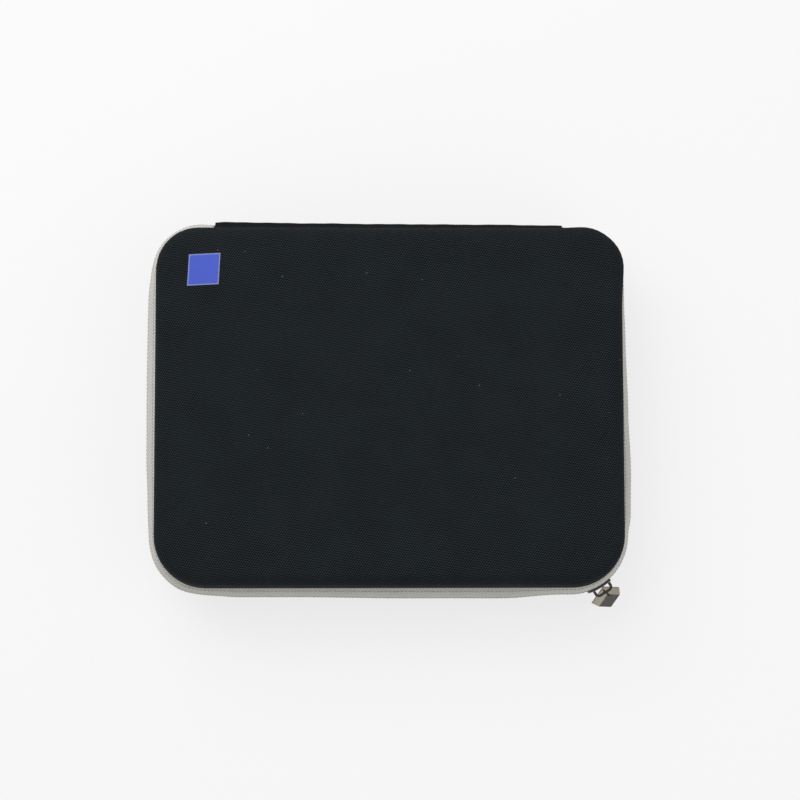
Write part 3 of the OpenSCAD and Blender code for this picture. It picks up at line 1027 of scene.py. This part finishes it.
def repeat_tree():
    """Puts an item at each step along a path; it faces the path's own direction and tilts with it."""
    if "repeat_along" in bpy.data.node_groups:
        return bpy.data.node_groups["repeat_along"]
    tree, given = new_group("repeat_along", Item="Object", Step="Float", Unevenness="Float",
                            Seed="Int", Finish="Material")
    curve = add_node(tree, "GeometryNodeMeshToCurve", Mesh=given["Geometry"])
    steps = add_node(tree, "GeometryNodeResampleCurve", {"mode": "LENGTH"},
                     Curve=curve.outputs[0], Length=given["Step"])
    facing = add_node(tree, "GeometryNodeInputNamedAttribute", {"data_type": "FLOAT_VECTOR"},
                      Name="facing")
    tilt = add_node(tree, "GeometryNodeInputNamedAttribute", {"data_type": "FLOAT"}, Name="tilt")
    sides = add_node(tree, "ShaderNodeSeparateXYZ", Vector=facing.outputs["Attribute"]).outputs
    wander = add_node(tree, "FunctionNodeRandomValue", {"data_type": "FLOAT"}, Seed=given["Seed"])
    centred = add_maths(tree, "SUBTRACT", wander.outputs["Value"], 0.5)
    turn = add_maths(tree, "MULTIPLY_ADD", centred, given["Unevenness"],
                     add_maths(tree, "ARCTAN2", sides["Y"], sides["X"]))
    rotation = add_node(tree, "ShaderNodeCombineXYZ", Y=tilt.outputs["Attribute"], Z=turn)
    item = add_node(tree, "GeometryNodeObjectInfo", Object=given["Item"])
    placed = add_node(tree, "GeometryNodeInstanceOnPoints", Points=steps.outputs[0],
                      Instance=item.outputs["Geometry"], Rotation=rotation.outputs[0])
    return end_group(tree, placed.outputs[0], given["Finish"])


def yarn_tree():
    """Turns lines into yarns of a given radius."""
    tree, given = new_group("yarn_along", Radius="Float", Finish="Material")
    curve = add_node(tree, "GeometryNodeMeshToCurve", Mesh=given["Geometry"])
    ring = add_node(tree, "GeometryNodeCurvePrimitiveCircle", Resolution=YARN_SIDES,
                    Radius=given["Radius"])
    tube = add_node(tree, "GeometryNodeCurveToMesh", Curve=curve.outputs[0],
                    Profile_Curve=ring.outputs[0], Fill_Caps=True)
    return end_group(tree, tube.outputs[0], given["Finish"])


def repeat_along(name, paths, item, step, material, uneven=0.0):
    """One plain mesh of an item repeated along paths of (place, facing, tilt)."""
    rows = [row for path in paths for row in path]
    edges, first = [], 0
    for path in paths:
        edges += [(first + k, first + k + 1) for k in range(len(path) - 1)]
        first += len(path)
    mesh = bpy.data.meshes.new(name)
    mesh.from_pydata([place for place, facing, tilt in rows], edges, [])
    put_marks(mesh, "tilt", "POINT", [tilt for place, facing, tilt in rows])
    layer = mesh.attributes.new("facing", "FLOAT_VECTOR", "POINT")
    for k, (place, facing, tilt) in enumerate(rows):
        layer.data[k].vector = facing
    obj = add_object(name, mesh)
    run_nodes(obj, repeat_tree(), Item=item, Step=step, Unevenness=uneven,
              Seed=bpy.context.scene.case_view.seed, Finish=material)
    bpy.data.objects.remove(item)
    return obj


def finer_copy(name, node, width, segments, material, sharp=28.0, mark=None):
    """A copy of a CAD node with its sharp edges rounded, and a mark on what was rounded."""
    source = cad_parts[node].data
    edit = bmesh.new()
    edit.from_mesh(source)
    bmesh.ops.remove_doubles(edit, verts=edit.verts, dist=0.004 * MM)
    bmesh.ops.dissolve_degenerate(edit, edges=edit.edges, dist=0.003 * MM)
    bmesh.ops.dissolve_limit(edit, angle_limit=math.radians(1.0), verts=edit.verts, edges=edit.edges)
    layer = edit.faces.layers.float.new(mark) if mark else None
    edges = [e for e in edit.edges
             if len(e.link_faces) == 2 and e.calc_face_angle(0) > math.radians(sharp)]
    made = bmesh.ops.bevel(edit, geom=edges, offset=width, offset_type="OFFSET", segments=segments,
                           profile=0.5, affect="EDGES", clamp_overlap=True)
    if layer:
        for face in made["faces"]:
            face[layer] = 1.0
    bmesh.ops.triangulate(edit, faces=[f for f in edit.faces if len(f.verts) > 4])
    bmesh.ops.recalc_face_normals(edit, faces=edit.faces)
    mesh = bpy.data.meshes.new(name)
    edit.to_mesh(mesh)
    edit.free()
    shade_faces(mesh, False)
    mesh.materials.append(material)
    return add_object(name, mesh)


def rod_item(name, length, width, height, sides=6):
    """A short rounded rod along Y, for a stitch."""
    verts = []
    for y, share in ((-0.5, 0.35), (-0.36, 1.0), (0.36, 1.0), (0.5, 0.35)):
        for k in range(sides):
            a = 2 * math.pi * k / sides
            verts.append((height * share * math.cos(a) / 2, length * y,
                          width * share * math.sin(a) / 2))
    return mesh_piece(name, verts, tube_faces(4, sides))


def loop_item(name, half_out, half_up, wire, lean, around=10, sides=5):
    """One turn of a zip coil: an oval loop of thick thread that leans along the path."""
    verts = []
    for k in range(around):
        a = 2 * math.pi * k / around
        centre = Vector((half_out * math.cos(a), lean * math.sin(a), half_up * math.sin(a)))
        out = Vector((math.cos(a), 0, math.sin(a)))
        for j in range(sides):
            b = 2 * math.pi * j / sides
            verts.append(centre + out * (wire / 2 * math.cos(b)) + Vector((0, wire / 2 * math.sin(b), 0)))
    return mesh_piece(name, verts, grid_faces(around, sides, True, True))


# The moulded shells and what is sewn round their rims

LINING_T = 0.8 * MM
LINED = WALL + LINING_T


class CASE_OT_shells(bpy.types.Operator):
    """The two moulded shells in their coarse woven cloth"""
    bl_idname = "case.shells"
    bl_label = "Shells"

    def execute(self, context):
        base = shell_solid("base_cloth", 0.0, WALL, shell_cloth())
        assign(base, "base", "shell_cloth", "base_shell")
        lid = shell_solid("lid_cloth", 0.0, WALL, shell_cloth(), crown=sizes().crown, over=True,
                          puff=lid_puff)
        assign(lid, "lid", "shell_cloth", "lid_shell")
        return {"FINISHED"}


class CASE_OT_linings(bpy.types.Operator):
    """The knitted lining inside each shell, and the bound edge round it"""
    bl_idname = "case.linings"
    bl_label = "Linings"

    def execute(self, context):
        for _, body, over in HALVES:
            lining = shell_solid(body + "_knit", WALL, LINED, lining_knit(), over=over,
                                 crest=0.2 * MM, step=5 * MM)
            assign(lining, body, "lining_cloth", body + "_lining")

            def roll(s):
                middle, half_w, half_h = -(LINED - 0.7 * MM), 0.7 * MM, 0.5 * MM
                pinch = 0.05 * MM * math.sin(s / (1.9 * MM))
                return [(middle + half_w * math.cos(a), RIM_LOW + half_h + (half_h - pinch) * math.sin(a),
                         a * half_w, 0) for a in (math.pi / 6 * k for k in range(12))]

            bound = rim_sweep(body + "_edge_roll", stations(0, RIM.length, 2.4 * MM)[:-1], roll,
                              binding_rib(), over, closed=True)
            assign(bound, body, "binding_cloth", body + "_binding")
        return {"FINISHED"}


# The zip band

BAND_OUT = 4 * MM
TAPE_T = 1.2 * MM
COIL_OUT = 1.85 * MM
COIL_UP = MID_Z - 1.5 * MM
OPEN_HALF_GAP = 0.7 * MM
SHUT_HALF_GAP = 0.12 * MM

# Which points of the band's line the rows of stitches follow
STITCH_ROWS = (8, 15, 18)


def lip_gap_at(s):
    """Half of the gap between the two tapes: open behind the slider and round its corner."""
    end = RIM.marks["front right corner"][1]
    return blend_list([(0, OPEN_HALF_GAP), (end + 1 * MM, OPEN_HALF_GAP),
                       (end + 24 * MM, SHUT_HALF_GAP), (RIM.length, SHUT_HALF_GAP)], s)


def smooth_line(points, steps=4):
    """More points on a smooth line through the ones given."""
    out = []
    for k in range(len(points) - 1):
        a = points[max(0, k - 1)]
        b, c = points[k], points[k + 1]
        d = points[min(len(points) - 1, k + 2)]
        for j in range(steps):
            t = j / steps
            out.append(tuple(
                0.5 * (2 * b[m] + (c[m] - a[m]) * t + (2 * a[m] - 5 * b[m] + 4 * c[m] - d[m]) * t * t
                       + (3 * b[m] - a[m] - 3 * c[m] + d[m]) * t ** 3) for m in range(2)))
    return out + [tuple(points[-1])]


def band_line(s):
    """The outside of the lower tape at a place along the rim, from its foot to its lip."""
    b = bulge_at(s)
    ripple = 0.05 * MM * math.sin(s / (11 * MM)) * math.sin(s / (4.7 * MM))
    return smooth_line([
        (-2.4 * MM, RIM_LOW + 0.06 * MM),
        (-0.5 * MM, RIM_LOW + 0.5 * MM),
        (1.2 * MM + 0.45 * b, RIM_LOW + 1.9 * MM),
        (2.85 * MM + 0.85 * b + ripple, RIM_LOW + 4.2 * MM),
        (3.72 * MM + b + ripple, RIM_LOW + 6.9 * MM),
        (BAND_OUT + b, MID_Z - lip_gap_at(s)),
    ])


def band_section(s):
    """The tape's section at a place along the rim, with its woven edge marked."""
    outside, inside = offset_section(band_line(s), TAPE_T)
    last = len(outside) - 1
    rows = []
    for k, (out, up, run) in enumerate(outside + inside):
        j = k if k <= last else 2 * last + 1 - k
        rows.append((out, up, run, 1.0 if j == last else 0.4 if j == last - 1 else 0.0))
    return rows


def on_band(s, row, lift, over):
    """A place on the tape's outside, the direction that it faces, and the tilt of that direction."""
    line = band_line(s)
    before, after = line[row - 1], line[row + 1]
    along = Vector((after[0] - before[0], after[1] - before[1])).normalized()
    out, up = line[row][0] + along.y * lift, line[row][1] - along.x * lift
    tilt = math.atan2(along.x, along.y)
    normal = rim_station(s)[1]
    place = stand(s, out, up)
    if over:
        place, tilt = turn_over([place])[0], -tilt
    return place, (normal.x, normal.y, 0), tilt


class CASE_OT_zip_band(bpy.types.Operator):
    """The two halves of the twill zip tape, with their rows of stitches"""
    bl_idname = "case.zip_band"
    bl_label = "Zip band"

    def execute(self, context):
        places = stations(TAPE_END, RIM.length - TAPE_END, 2.2 * MM)
        marks = stations(TAPE_END + 3 * MM, RIM.length - TAPE_END - 3 * MM, 1.2 * MM)
        for half, body, over in HALVES:
            name = half + "_band"
            band = rim_sweep(name, places, band_section, tape_twill(), over, "selvedge")
            assign(band, body, "tape_twill", half + "_tape")
            paths = [[on_band(s, row, 0.08 * MM, over) for s in marks] for row in STITCH_ROWS]
            stitch = rod_item("stitch", 0.72 * sizes().stitch, 0.42 * MM, 0.38 * MM)
            rows = repeat_along(name + "_stitches", paths, stitch, sizes().stitch, stitch_thread(), 0.16)
            assign(rows, body, "tape_twill")
        return {"FINISHED"}


class CASE_OT_zip_coil(bpy.types.Operator):
    """The coil of teeth on each tape, and the stops at its ends"""
    bl_idname = "case.zip_coil"
    bl_label = "Zip coil"

    def execute(self, context):
        ends = 2.7 * MM
        marks = stations(TAPE_END + ends, RIM.length - TAPE_END - ends, 1.2 * MM)
        for half, body, over in HALVES:
            name = half + "_teeth"
            path = []
            for s in marks:
                place = stand(s, COIL_OUT + bulge_at(s), COIL_UP)
                normal = rim_station(s)[1]
                path.append((turn_over([place])[0] if over else place, (normal.x, normal.y, 0), 0.0))
            loop = loop_item("loop", 0.53 * MM, 0.72 * MM, 0.5 * MM, 0.32 * MM)
            teeth = repeat_along(name, [path], loop, sizes().tooth, coil_nylon())
            assign(teeth, body, "coil_nylon", half + "_coil")

            def core(s):
                b = bulge_at(s)
                return [(COIL_OUT + b + 0.3 * MM * math.cos(a), COIL_UP + 0.34 * MM * math.sin(a), 0, 0)
                        for a in (math.pi / 3 * k for k in range(6))]

            cord = rim_sweep(name + "_core", stations(marks[0], marks[-1], 2.2 * MM), core,
                             stitch_thread(), over)
            assign(cord, body, "coil_nylon")
        for node in ("stop_left", "stop_right"):
            piece = finer_copy(node + "_clip", node, 0.3 * MM, 3, stop_plating())
            assign(piece, "base", "stop_metal", node)
        return {"FINISHED"}


# The cloth hinge

STITCH_Y = CASE_D / 2 + BAND_OUT + 0.3 * MM
MARGIN_H = 7 * MM
HINGE_T = 1.3 * MM


def spine_fullness(x):
    """How far the hinge cloth bellies out: most near its left end, and tapering off to the right."""
    return blend_list([(-SPINE_HALF, 0.8), (-SPINE_HALF + 6 * MM, 0.95), (-SPINE_HALF * 0.45, 0.62),
                       (0, 0.42), (SPINE_HALF * 0.6, 0.28), (SPINE_HALF, 0.0)], x)


def hinge_line(x):
    """The outside of the hinge cloth from the base's margin up to the middle of the spine."""
    belly = 2.6 * MM * spine_fullness(x)
    crease = 0.12 * MM * math.sin(x / (7.3 * MM)) * math.sin(x / (3.1 * MM))
    rim = CASE_D / 2
    return smooth_line([
        (rim + HINGE_T, RIM_LOW - MARGIN_H),
        (rim + HINGE_T + 0.15 * MM, RIM_LOW - 0.55 * MARGIN_H),
        (rim + HINGE_T + 0.1 * MM, RIM_LOW - 0.2 * MARGIN_H),
        (rim + 2.6 * MM + 0.3 * belly, RIM_LOW + 0.9 * MM),
        (STITCH_Y + 0.1 * MM + 0.7 * belly + crease, RIM_LOW + 4.0 * MM),
        (STITCH_Y + 0.25 * MM + belly + crease, MID_Z),
    ])


def hinge_half(name, over):
    """One half of the hinge cloth, from its margin to the middle of the spine."""
    verts, uvs = [], []
    half = SPINE_HALF - 0.1 * MM
    places = stations(-half, half, half / 60)
    for x in places:
        outside, inside = offset_section(hinge_line(x), HINGE_T)
        for y, z, run in outside + inside:
            verts.append(Vector((x, y, z)))
            uvs.append((x, run))
    faces = tube_faces(len(places), len(verts) // len(places))
    if over:
        verts = turn_over(verts)
    return mesh_piece(name, verts, faces, spine_cloth(), uvs=uvs)


class CASE_OT_spine(bpy.types.Operator):
    """The cloth hinge along the back, its stitched margins and the strip behind it"""
    bl_idname = "case.spine"
    bl_label = "Cloth hinge"

    def execute(self, context):
        lower = hinge_half("hinge_cloth_lower", False)
        upper = hinge_half("hinge_cloth_upper", True)
        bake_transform(lower)
        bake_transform(upper)
        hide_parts("spine_lower_margin", "spine_panel")
        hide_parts("spine_upper_margin")
        marks = stations(-SPINE_HALF + 3 * MM, SPINE_HALF - 3 * MM, 4 * MM)
        for half, body, over in HALVES:
            paths = []
            for height, out in ((RIM_LOW - 0.8 * MARGIN_H, HINGE_T + 0.12 * MM),
                                (RIM_LOW - 0.3 * MARGIN_H, HINGE_T + 0.16 * MM)):
                row = [Vector((x, CASE_D / 2 + out, height)) for x in marks]
                if over:
                    row = turn_over(row)
                paths.append([(place, (0, 1, 0), 0.0) for place in row])
            stitch = rod_item("stitch", 0.7 * sizes().stitch, 0.4 * MM, 0.4 * MM)
            rows = repeat_along("hinge_stitches_" + half, paths, stitch, sizes().stitch,
                                dark_thread(), 0.12)
            assign(rows, body, "spine_cloth")
        strip = soft_block("hinge_lining_strip", *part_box("spine_lining"), 0.35 * MM, lining_knit(),
                           (60, 1, 6), lambda p: (p.x, p.z))
        assign(strip, "spine", "lining_cloth", "spine_lining")
        return {"FINISHED"}


# The foam insert and its straps


class CASE_OT_foam_insert(bpy.types.Operator):
    """The cut foam insert with its cavities"""
    bl_idname = "case.foam_insert"
    bl_label = "Foam insert"

    def execute(self, context):
        foam = finer_copy("foam_block", "foam_insert", 0.9 * MM, 2, cell_foam(), sharp=40)
        assign(foam, "base", "foam", "foam_insert")
        return {"FINISHED"}


class CASE_OT_straps(bpy.types.Operator):
    """The two elastic straps over the handle's cavity, with their box stitches"""
    bl_idname = "case.straps"
    bl_label = "Straps"

    def execute(self, context):
        for node in ("strap_left", "strap_right"):
            low, high = (Vector(corner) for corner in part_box(node))
            middle, half = (low + high) / 2, (high.y - low.y) / 2

            def shape(p):
                """Draws the strap's free length in a little, and lets it sag."""
                free = 1 - min(1.0, abs(p.y - middle.y) / (half - 6 * MM)) ** 2
                x = middle.x + (p.x - middle.x) * (1 - 0.05 * free)
                return Vector((x, p.y, p.z - 0.5 * MM * free))

            strap = soft_block(node + "_elastic", low, high, 0.4 * MM, woven_elastic(), (14, 34, 1),
                               lambda p: (p.y, p.x), shape)
            assign(strap, "base", "elastic", node)
            paths = []
            for end in (-1, 1):
                near, far = middle.y + end * (half - 1.3 * MM), middle.y + end * (half - 5.2 * MM)
                left, right = low.x + 1.6 * MM, high.x - 1.6 * MM
                top = high.z + 0.02 * MM
                for y in (near, far):
                    paths.append([((x, y, top), (0, 1, 0), 0.0) for x in (left, right)])
                for x in (left, right):
                    paths.append([((x, y, top), (1, 0, 0), 0.0) for y in (near, far)])
            stitch = rod_item("stitch", 1.5 * MM, 0.4 * MM, 0.45 * MM)
            rows = repeat_along(node + "_stitches", paths, stitch, 1.95 * MM, stitch_thread(), 0.12)
            assign(rows, "base", "elastic")
        return {"FINISHED"}


# The lid's pad and mesh pocket

POCKET_R = 14 * MM
BINDING_W = 3 * MM
BINDING_SIDES = 16


class CASE_OT_lid_pad(bpy.types.Operator):
    """The flat pad behind the lid's lining"""
    bl_idname = "case.lid_pad"
    bl_label = "Lid pad"

    def execute(self, context):
        low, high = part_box("lid_pad")
        places = stations(0, RIM.length, 5 * MM)[:-1]

        def ring_at(inset):
            rim = [rim_station(s) for s in places]
            return [tuple(point - normal * (CORE_IN + inset)) for point, normal in rim]

        pad = plan_slab("lid_pad_foam", ring_at, low[2], high[2], 1.6 * MM, lining_knit(), 0.5 * MM)
        assign(pad, "lid", "foam", "lid_pad")
        return {"FINISHED"}


def pocket_path(step):
    """Points and outward directions round the pocket's three bound sides, from mouth to mouth."""
    low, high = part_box("pocket_binding")
    inset = BINDING_W / 2
    half, front, back = high[0] - inset, low[1] + inset, high[1]
    turn = POCKET_R - inset
    rows = []
    count = max(2, round((back - front - turn) / step))
    for k in range(count):
        rows.append((Vector((half, back + (front + turn - back) * k / count)), Vector((1, 0))))
    for k in range(13):
        a = -math.pi / 2 * k / 12
        normal = Vector((math.cos(a), math.sin(a)))
        rows.append((Vector((half - turn, front + turn)) + normal * turn, normal))
    mirrored = [(Vector((-p.x, p.y)), Vector((-n.x, n.y))) for p, n in rows]
    count = round(2 * (half - turn) / step)
    for k in range(1, count):
        rows.append((Vector((half - turn - 2 * (half - turn) * k / count, front)), Vector((0, -1))))
    return rows + mirrored[::-1]


def inside_pocket(x, y, margin, low, high):
    """Whether a place is inside the net's outline, a margin away from its edge."""
    half, front, back = high[0] - margin, low[1] + margin, high[1]
    r = POCKET_R - margin
    if abs(x) > half or y < front or y > back:
        return False
    if abs(x) > half - r and y < front + r:
        return math.hypot(abs(x) - half + r, y - front - r) < r
    return True


class CASE_OT_mesh_pocket(bpy.types.Operator):
    """The stretched net of the lid pocket, its elastic mouth and its bound sides"""
    bl_idname = "case.mesh_pocket"
    bl_label = "Mesh pocket"

    def execute(self, context):
        self.net()
        self.hem()
        self.binding()
        return {"FINISHED"}

    def net(self):
        """Two sets of slanting yarns that pass over and under each other."""
        low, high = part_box("mesh_pocket")
        level = (low[2] + high[2]) / 2
        lean = math.radians(57)
        pitch = sizes().net
        verts, edges, length = [], [], 0.0
        for sign in (-1, 1):
            along = Vector((math.cos(lean), sign * math.sin(lean)))
            across = Vector((-along.y, along.x))
            reach = Vector((high[0], high[1] - low[1])).length
            step = pitch / 2 / math.sin(2 * lean) * 1.02
            for row in range(-int(reach / pitch) - 1, int(reach / pitch) + 2):
                before = None
                for k in range(-int(reach / step), int(reach / step)):
                    spot = across * (row * pitch) + along * (k * step)
                    if not inside_pocket(spot.x, spot.y, 0.9 * MM, low, high):
                        before = None
                        continue
                    height = level + 0.16 * MM * (1 if (row + k + (sign > 0)) % 2 else -1)
                    verts.append((spot.x, spot.y, height))
                    if before is not None:
                        edges.append((before, len(verts) - 1))
                        length += step
                    before = len(verts) - 1
        mesh = bpy.data.meshes.new("pocket_net")
        mesh.from_pydata(verts, edges, [])
        obj = add_object("pocket_net", mesh)
        radius = 0.24 * MM
        run_nodes(obj, yarn_tree(), Radius=radius, Finish=net_yarn())
        assign(obj, "lid", "mesh_net", "mesh_pocket")

    def hem(self):
        low, high = (Vector(corner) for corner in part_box("pocket_hem"))

        def gathers(p):
            wave = math.sin(p.x / (2.3 * MM)) * (0.6 + 0.4 * math.sin(p.x / (17 * MM)))
            fade = smoothstep((high.x - abs(p.x)) / (9 * MM))
            return Vector((p.x, p.y, p.z + 0.22 * MM * wave * fade))

        hem = soft_block("pocket_mouth_elastic", low, high, 0.6 * MM, woven_elastic(), (280, 6, 1),
                         lambda p: (p.x, p.y), gathers)
        assign(hem, "lid", "elastic", "pocket_hem")

    def binding(self):
        """A rolled ribbon of a squarish section with puckers along it, and its stitches."""
        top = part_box("pocket_binding")[1][2]
        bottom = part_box("mesh_pocket")[0][2] - 0.25 * MM
        rows = pocket_path(2.4 * MM)
        verts, uvs = [], []
        run = 0.0
        for k, (point, normal) in enumerate(rows):
            if k:
                run += (point - rows[k - 1][0]).length
            pucker = 0.14 * MM * math.sin(run / (1.7 * MM))
            for j in range(BINDING_SIDES):
                a = 2 * math.pi * j / BINDING_SIDES
                c, d = math.cos(a), math.sin(a)
                out = math.copysign(abs(c) ** 0.45 * BINDING_W / 2 + pucker * abs(c), c)
                up = math.copysign(abs(d) ** 0.45 * (top - bottom) / 2, d)
                spot = point + normal * out
                verts.append((spot.x, spot.y, (top + bottom) / 2 + up))
                uvs.append((run, a * BINDING_W / 2))
        roll = mesh_piece("pocket_roll", verts, tube_faces(len(rows), BINDING_SIDES), binding_rib(), uvs)
        assign(roll, "lid", "binding_cloth", "pocket_binding")
        level = Vector((0, 0, bottom - 0.04 * MM))
        path = [((p + n * 0.1 * MM).to_3d() + level, (n.x, n.y, 0), 0.0)
                for p, n in pocket_path(1.2 * MM)]
        stitch = rod_item("stitch", 1.6 * MM, 0.35 * MM, 0.4 * MM)
        rows = repeat_along("pocket_stitches", [path], stitch, 2.2 * MM, dark_thread(), 0.12)
        assign(rows, "lid", "binding_cloth")


# The plain square print on the lid

PATCH_HALF = 9.5 * MM
PATCH_TURN = math.radians(3)
PATCH_LEAN = math.radians(6)


class CASE_OT_patch(bpy.types.Operator):
    """The plain square print on the lid's cloth"""
    bl_idname = "case.patch"
    bl_label = "Square print"

    def execute(self, context):
        low, high = (Vector(corner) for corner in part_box("lid_patch"))
        middle = (low + high) / 2
        side = Vector((PATCH_HALF, PATCH_HALF, 0))
        spin = Matrix.Rotation(PATCH_TURN, 3, "Z")
        bottom, top = Vector((0, 0, TOTAL_H - 0.1 * MM)), Vector((0, 0, TOTAL_H + 0.16 * MM))

        def laid(p):
            slip = p.y * math.tan(PATCH_LEAN)
            spot = spin @ Vector((p.x + slip, p.y, 0)) + Vector((middle.x, middle.y, p.z))
            return spot + Vector((0, 0, sizes().crown * crown_at(spot.x, spot.y)))

        def cloth_place(p):
            spot = laid(p)
            return spot.x, spot.y

        patch = soft_block("square_print", -side + bottom, side + top, 0.12 * MM, patch_print(),
                           (16, 16, 1), cloth_place, laid)
        # Marks the print's edge, which its finish paints lighter as a painted highlight.
        reach = PATCH_HALF - 0.4 * MM
        marks = []
        for vert in patch.data.vertices:
            spot = spin.inverted() @ (vert.co - middle)
            slip = spot.y * math.tan(PATCH_LEAN)
            marks.append(float(max(abs(spot.x - slip), abs(spot.y)) > reach))
        put_marks(patch.data, "print_edge_highlight", "POINT", marks)
        assign(patch, "lid", "patch_print", "lid_patch")
        return {"FINISHED"}


# The slider and its pull

PULL_T = 5 * MM
FACET_AREA = 4 * MM * MM


class CASE_OT_slider(bpy.types.Operator):
    """The cast slider with its bridge, and the block pull on its link"""
    bl_idname = "case.slider"
    bl_label = "Slider and pull"

    def execute(self, context):
        # The rounded edges are marked for brass that is partly rubbed plating and partly a painted edge
        # highlight.
        slider = finer_copy("slider_cast", "zip_slider", 0.3 * MM, 3, slider_plating(), mark="worn")
        assign(slider, "slider", "slider_metal", "zip_slider")
        pull = finer_copy("pull_cast", "zip_pull", 0.3 * MM, 2, pull_plating(), mark="worn")
        self.mark_faces(pull.data)
        assign(pull, "pull", "pull_metal", "zip_pull")
        return {"FINISHED"}

    def mark_faces(self, mesh):
        """Marks the block's four bevels, which get a painted reflection, and, over its face, the link."""
        back = max(mesh.polygons, key=lambda face: face.area)
        middle, front = back.center.copy(), -back.normal.copy()
        facets, links = [], []
        for face in mesh.polygons:
            slope = face.normal.dot(front)
            facets.append(float(face.area > FACET_AREA and 0.2 < slope < 0.6))
            links.append(float((face.center - middle).dot(front) > PULL_T + 0.02 * MM))
        put_marks(mesh, "bevel_reflection", "FACE", facets)
        put_marks(mesh, "link", "FACE", links)


# The camera, the lamps and the floor

SENSOR_W = 36


def lamp(name, energy, place, size):
    """A soft square or oblong lamp that points at the case."""
    data = bpy.data.lights.new(name, "AREA")
    data.energy = energy
    data.shape = "RECTANGLE"
    data.size, data.size_y = size
    obj = add_object(name, data)
    obj.location = place
    obj.rotation_euler = (Vector((0, 0, 0.04)) - Vector(place)).to_track_quat("-Z", "Y").to_euler()


def background_tree(tree, seen, lit, strength):
    """Shows one colour to the camera and to gloss, and lights the object with another."""
    tree.nodes.clear()
    ray = add_node(tree, "ShaderNodeLightPath").outputs
    either = add_maths(tree, "MAXIMUM", ray["Is Camera Ray"], ray["Is Glossy Ray"])
    any_of = add_maths(tree, "MAXIMUM", either, ray["Is Transmission Ray"])
    shown = add_node(tree, "ShaderNodeBackground", Color=seen)
    light = add_node(tree, "ShaderNodeBackground", Color=lit, Strength=strength)
    mixed = plug_all(tree, add_node(tree, "ShaderNodeMixShader"),
                     (any_of, light.outputs[0], shown.outputs[0]))
    add_node(tree, "ShaderNodeOutputWorld", Surface=mixed)


class CASE_OT_stage(bpy.types.Operator):
    """The camera over the case, soft lamps and a plain pale floor"""
    bl_idname = "case.stage"
    bl_label = "Stage"

    def execute(self, context):
        view = context.scene.case_view
        data = bpy.data.cameras.new("camera")
        camera = add_object("camera", data)
        context.scene.camera = camera
        target = Vector((0, 0, TOTAL_H))
        away = Vector((-math.tan(view.side), -math.tan(view.lean), 1)).normalized()
        camera.location = target + away * view.distance
        right = (Vector((1, 0, 0)) - away * away.x).normalized()
        camera.rotation_euler = Matrix((right, away.cross(right), away)).transposed().to_euler()
        data.sensor_fit = "HORIZONTAL"
        data.sensor_width = SENSOR_W
        data.lens = SENSOR_W * view.distance / view.field
        data.shift_x, data.shift_y = view.shift_x, view.shift_y
        data.clip_end = 20

        lamp("window", 11, (-0.5, 0.7, 1.25), (1.1, 1.1))
        lamp("fill", 3.0, (0.9, -0.35, 1.15), (1.4, 1.0))
        world = bpy.data.worlds.new("studio")
        context.scene.world = world
        world.use_nodes = True
        background_tree(world.node_tree, (1, 1, 1), (1, 1, 1), 0.45)

        bpy.ops.mesh.primitive_plane_add(size=6, location=(0, 0, -0.2 * MM))
        floor = context.object
        floor.name = "floor"
        floor.data.materials.append(floor_paper())
        context.scene.view_settings.view_transform = "Standard"
        return {"FINISHED"}


class CASE_PT_panel(bpy.types.Panel):
    """Buttons for the pieces of the case, in the order in which they are made"""
    bl_idname = "CASE_PT_panel"
    bl_label = "Zipped instrument case"
    bl_space_type = "VIEW_3D"
    bl_region_type = "UI"
    bl_category = "Case"

    def draw(self, context):
        layout = self.layout
        for group in (context.scene.case_sizes, context.scene.case_colours, context.scene.case_view):
            box = layout.box()
            for key in group.bl_rna.properties.keys():
                if key not in ("rna_type", "name"):
                    box.prop(group, key)
        for operator in OPERATORS:
            layout.operator(operator.bl_idname)


OPERATORS = (CASE_OT_stage, CASE_OT_shells, CASE_OT_linings, CASE_OT_zip_band, CASE_OT_zip_coil,
             CASE_OT_spine, CASE_OT_foam_insert, CASE_OT_straps, CASE_OT_lid_pad,
             CASE_OT_mesh_pocket, CASE_OT_patch, CASE_OT_slider)
CLASSES = (CaseSizes, CaseColours, CaseView, *OPERATORS, CASE_PT_panel)


def register():
    for item in CLASSES:
        bpy.utils.register_class(item)
    bpy.types.Scene.case_sizes = PointerProperty(type=CaseSizes)
    bpy.types.Scene.case_colours = PointerProperty(type=CaseColours)
    bpy.types.Scene.case_view = PointerProperty(type=CaseView)


def unregister():
    del bpy.types.Scene.case_view
    del bpy.types.Scene.case_colours
    del bpy.types.Scene.case_sizes
    for item in reversed(CLASSES):
        bpy.utils.unregister_class(item)


def main():
    register()
    for operator in OPERATORS:
        getattr(bpy.ops.case, operator.bl_idname.split(".")[1])()


if __name__ == "__main__":
    main()
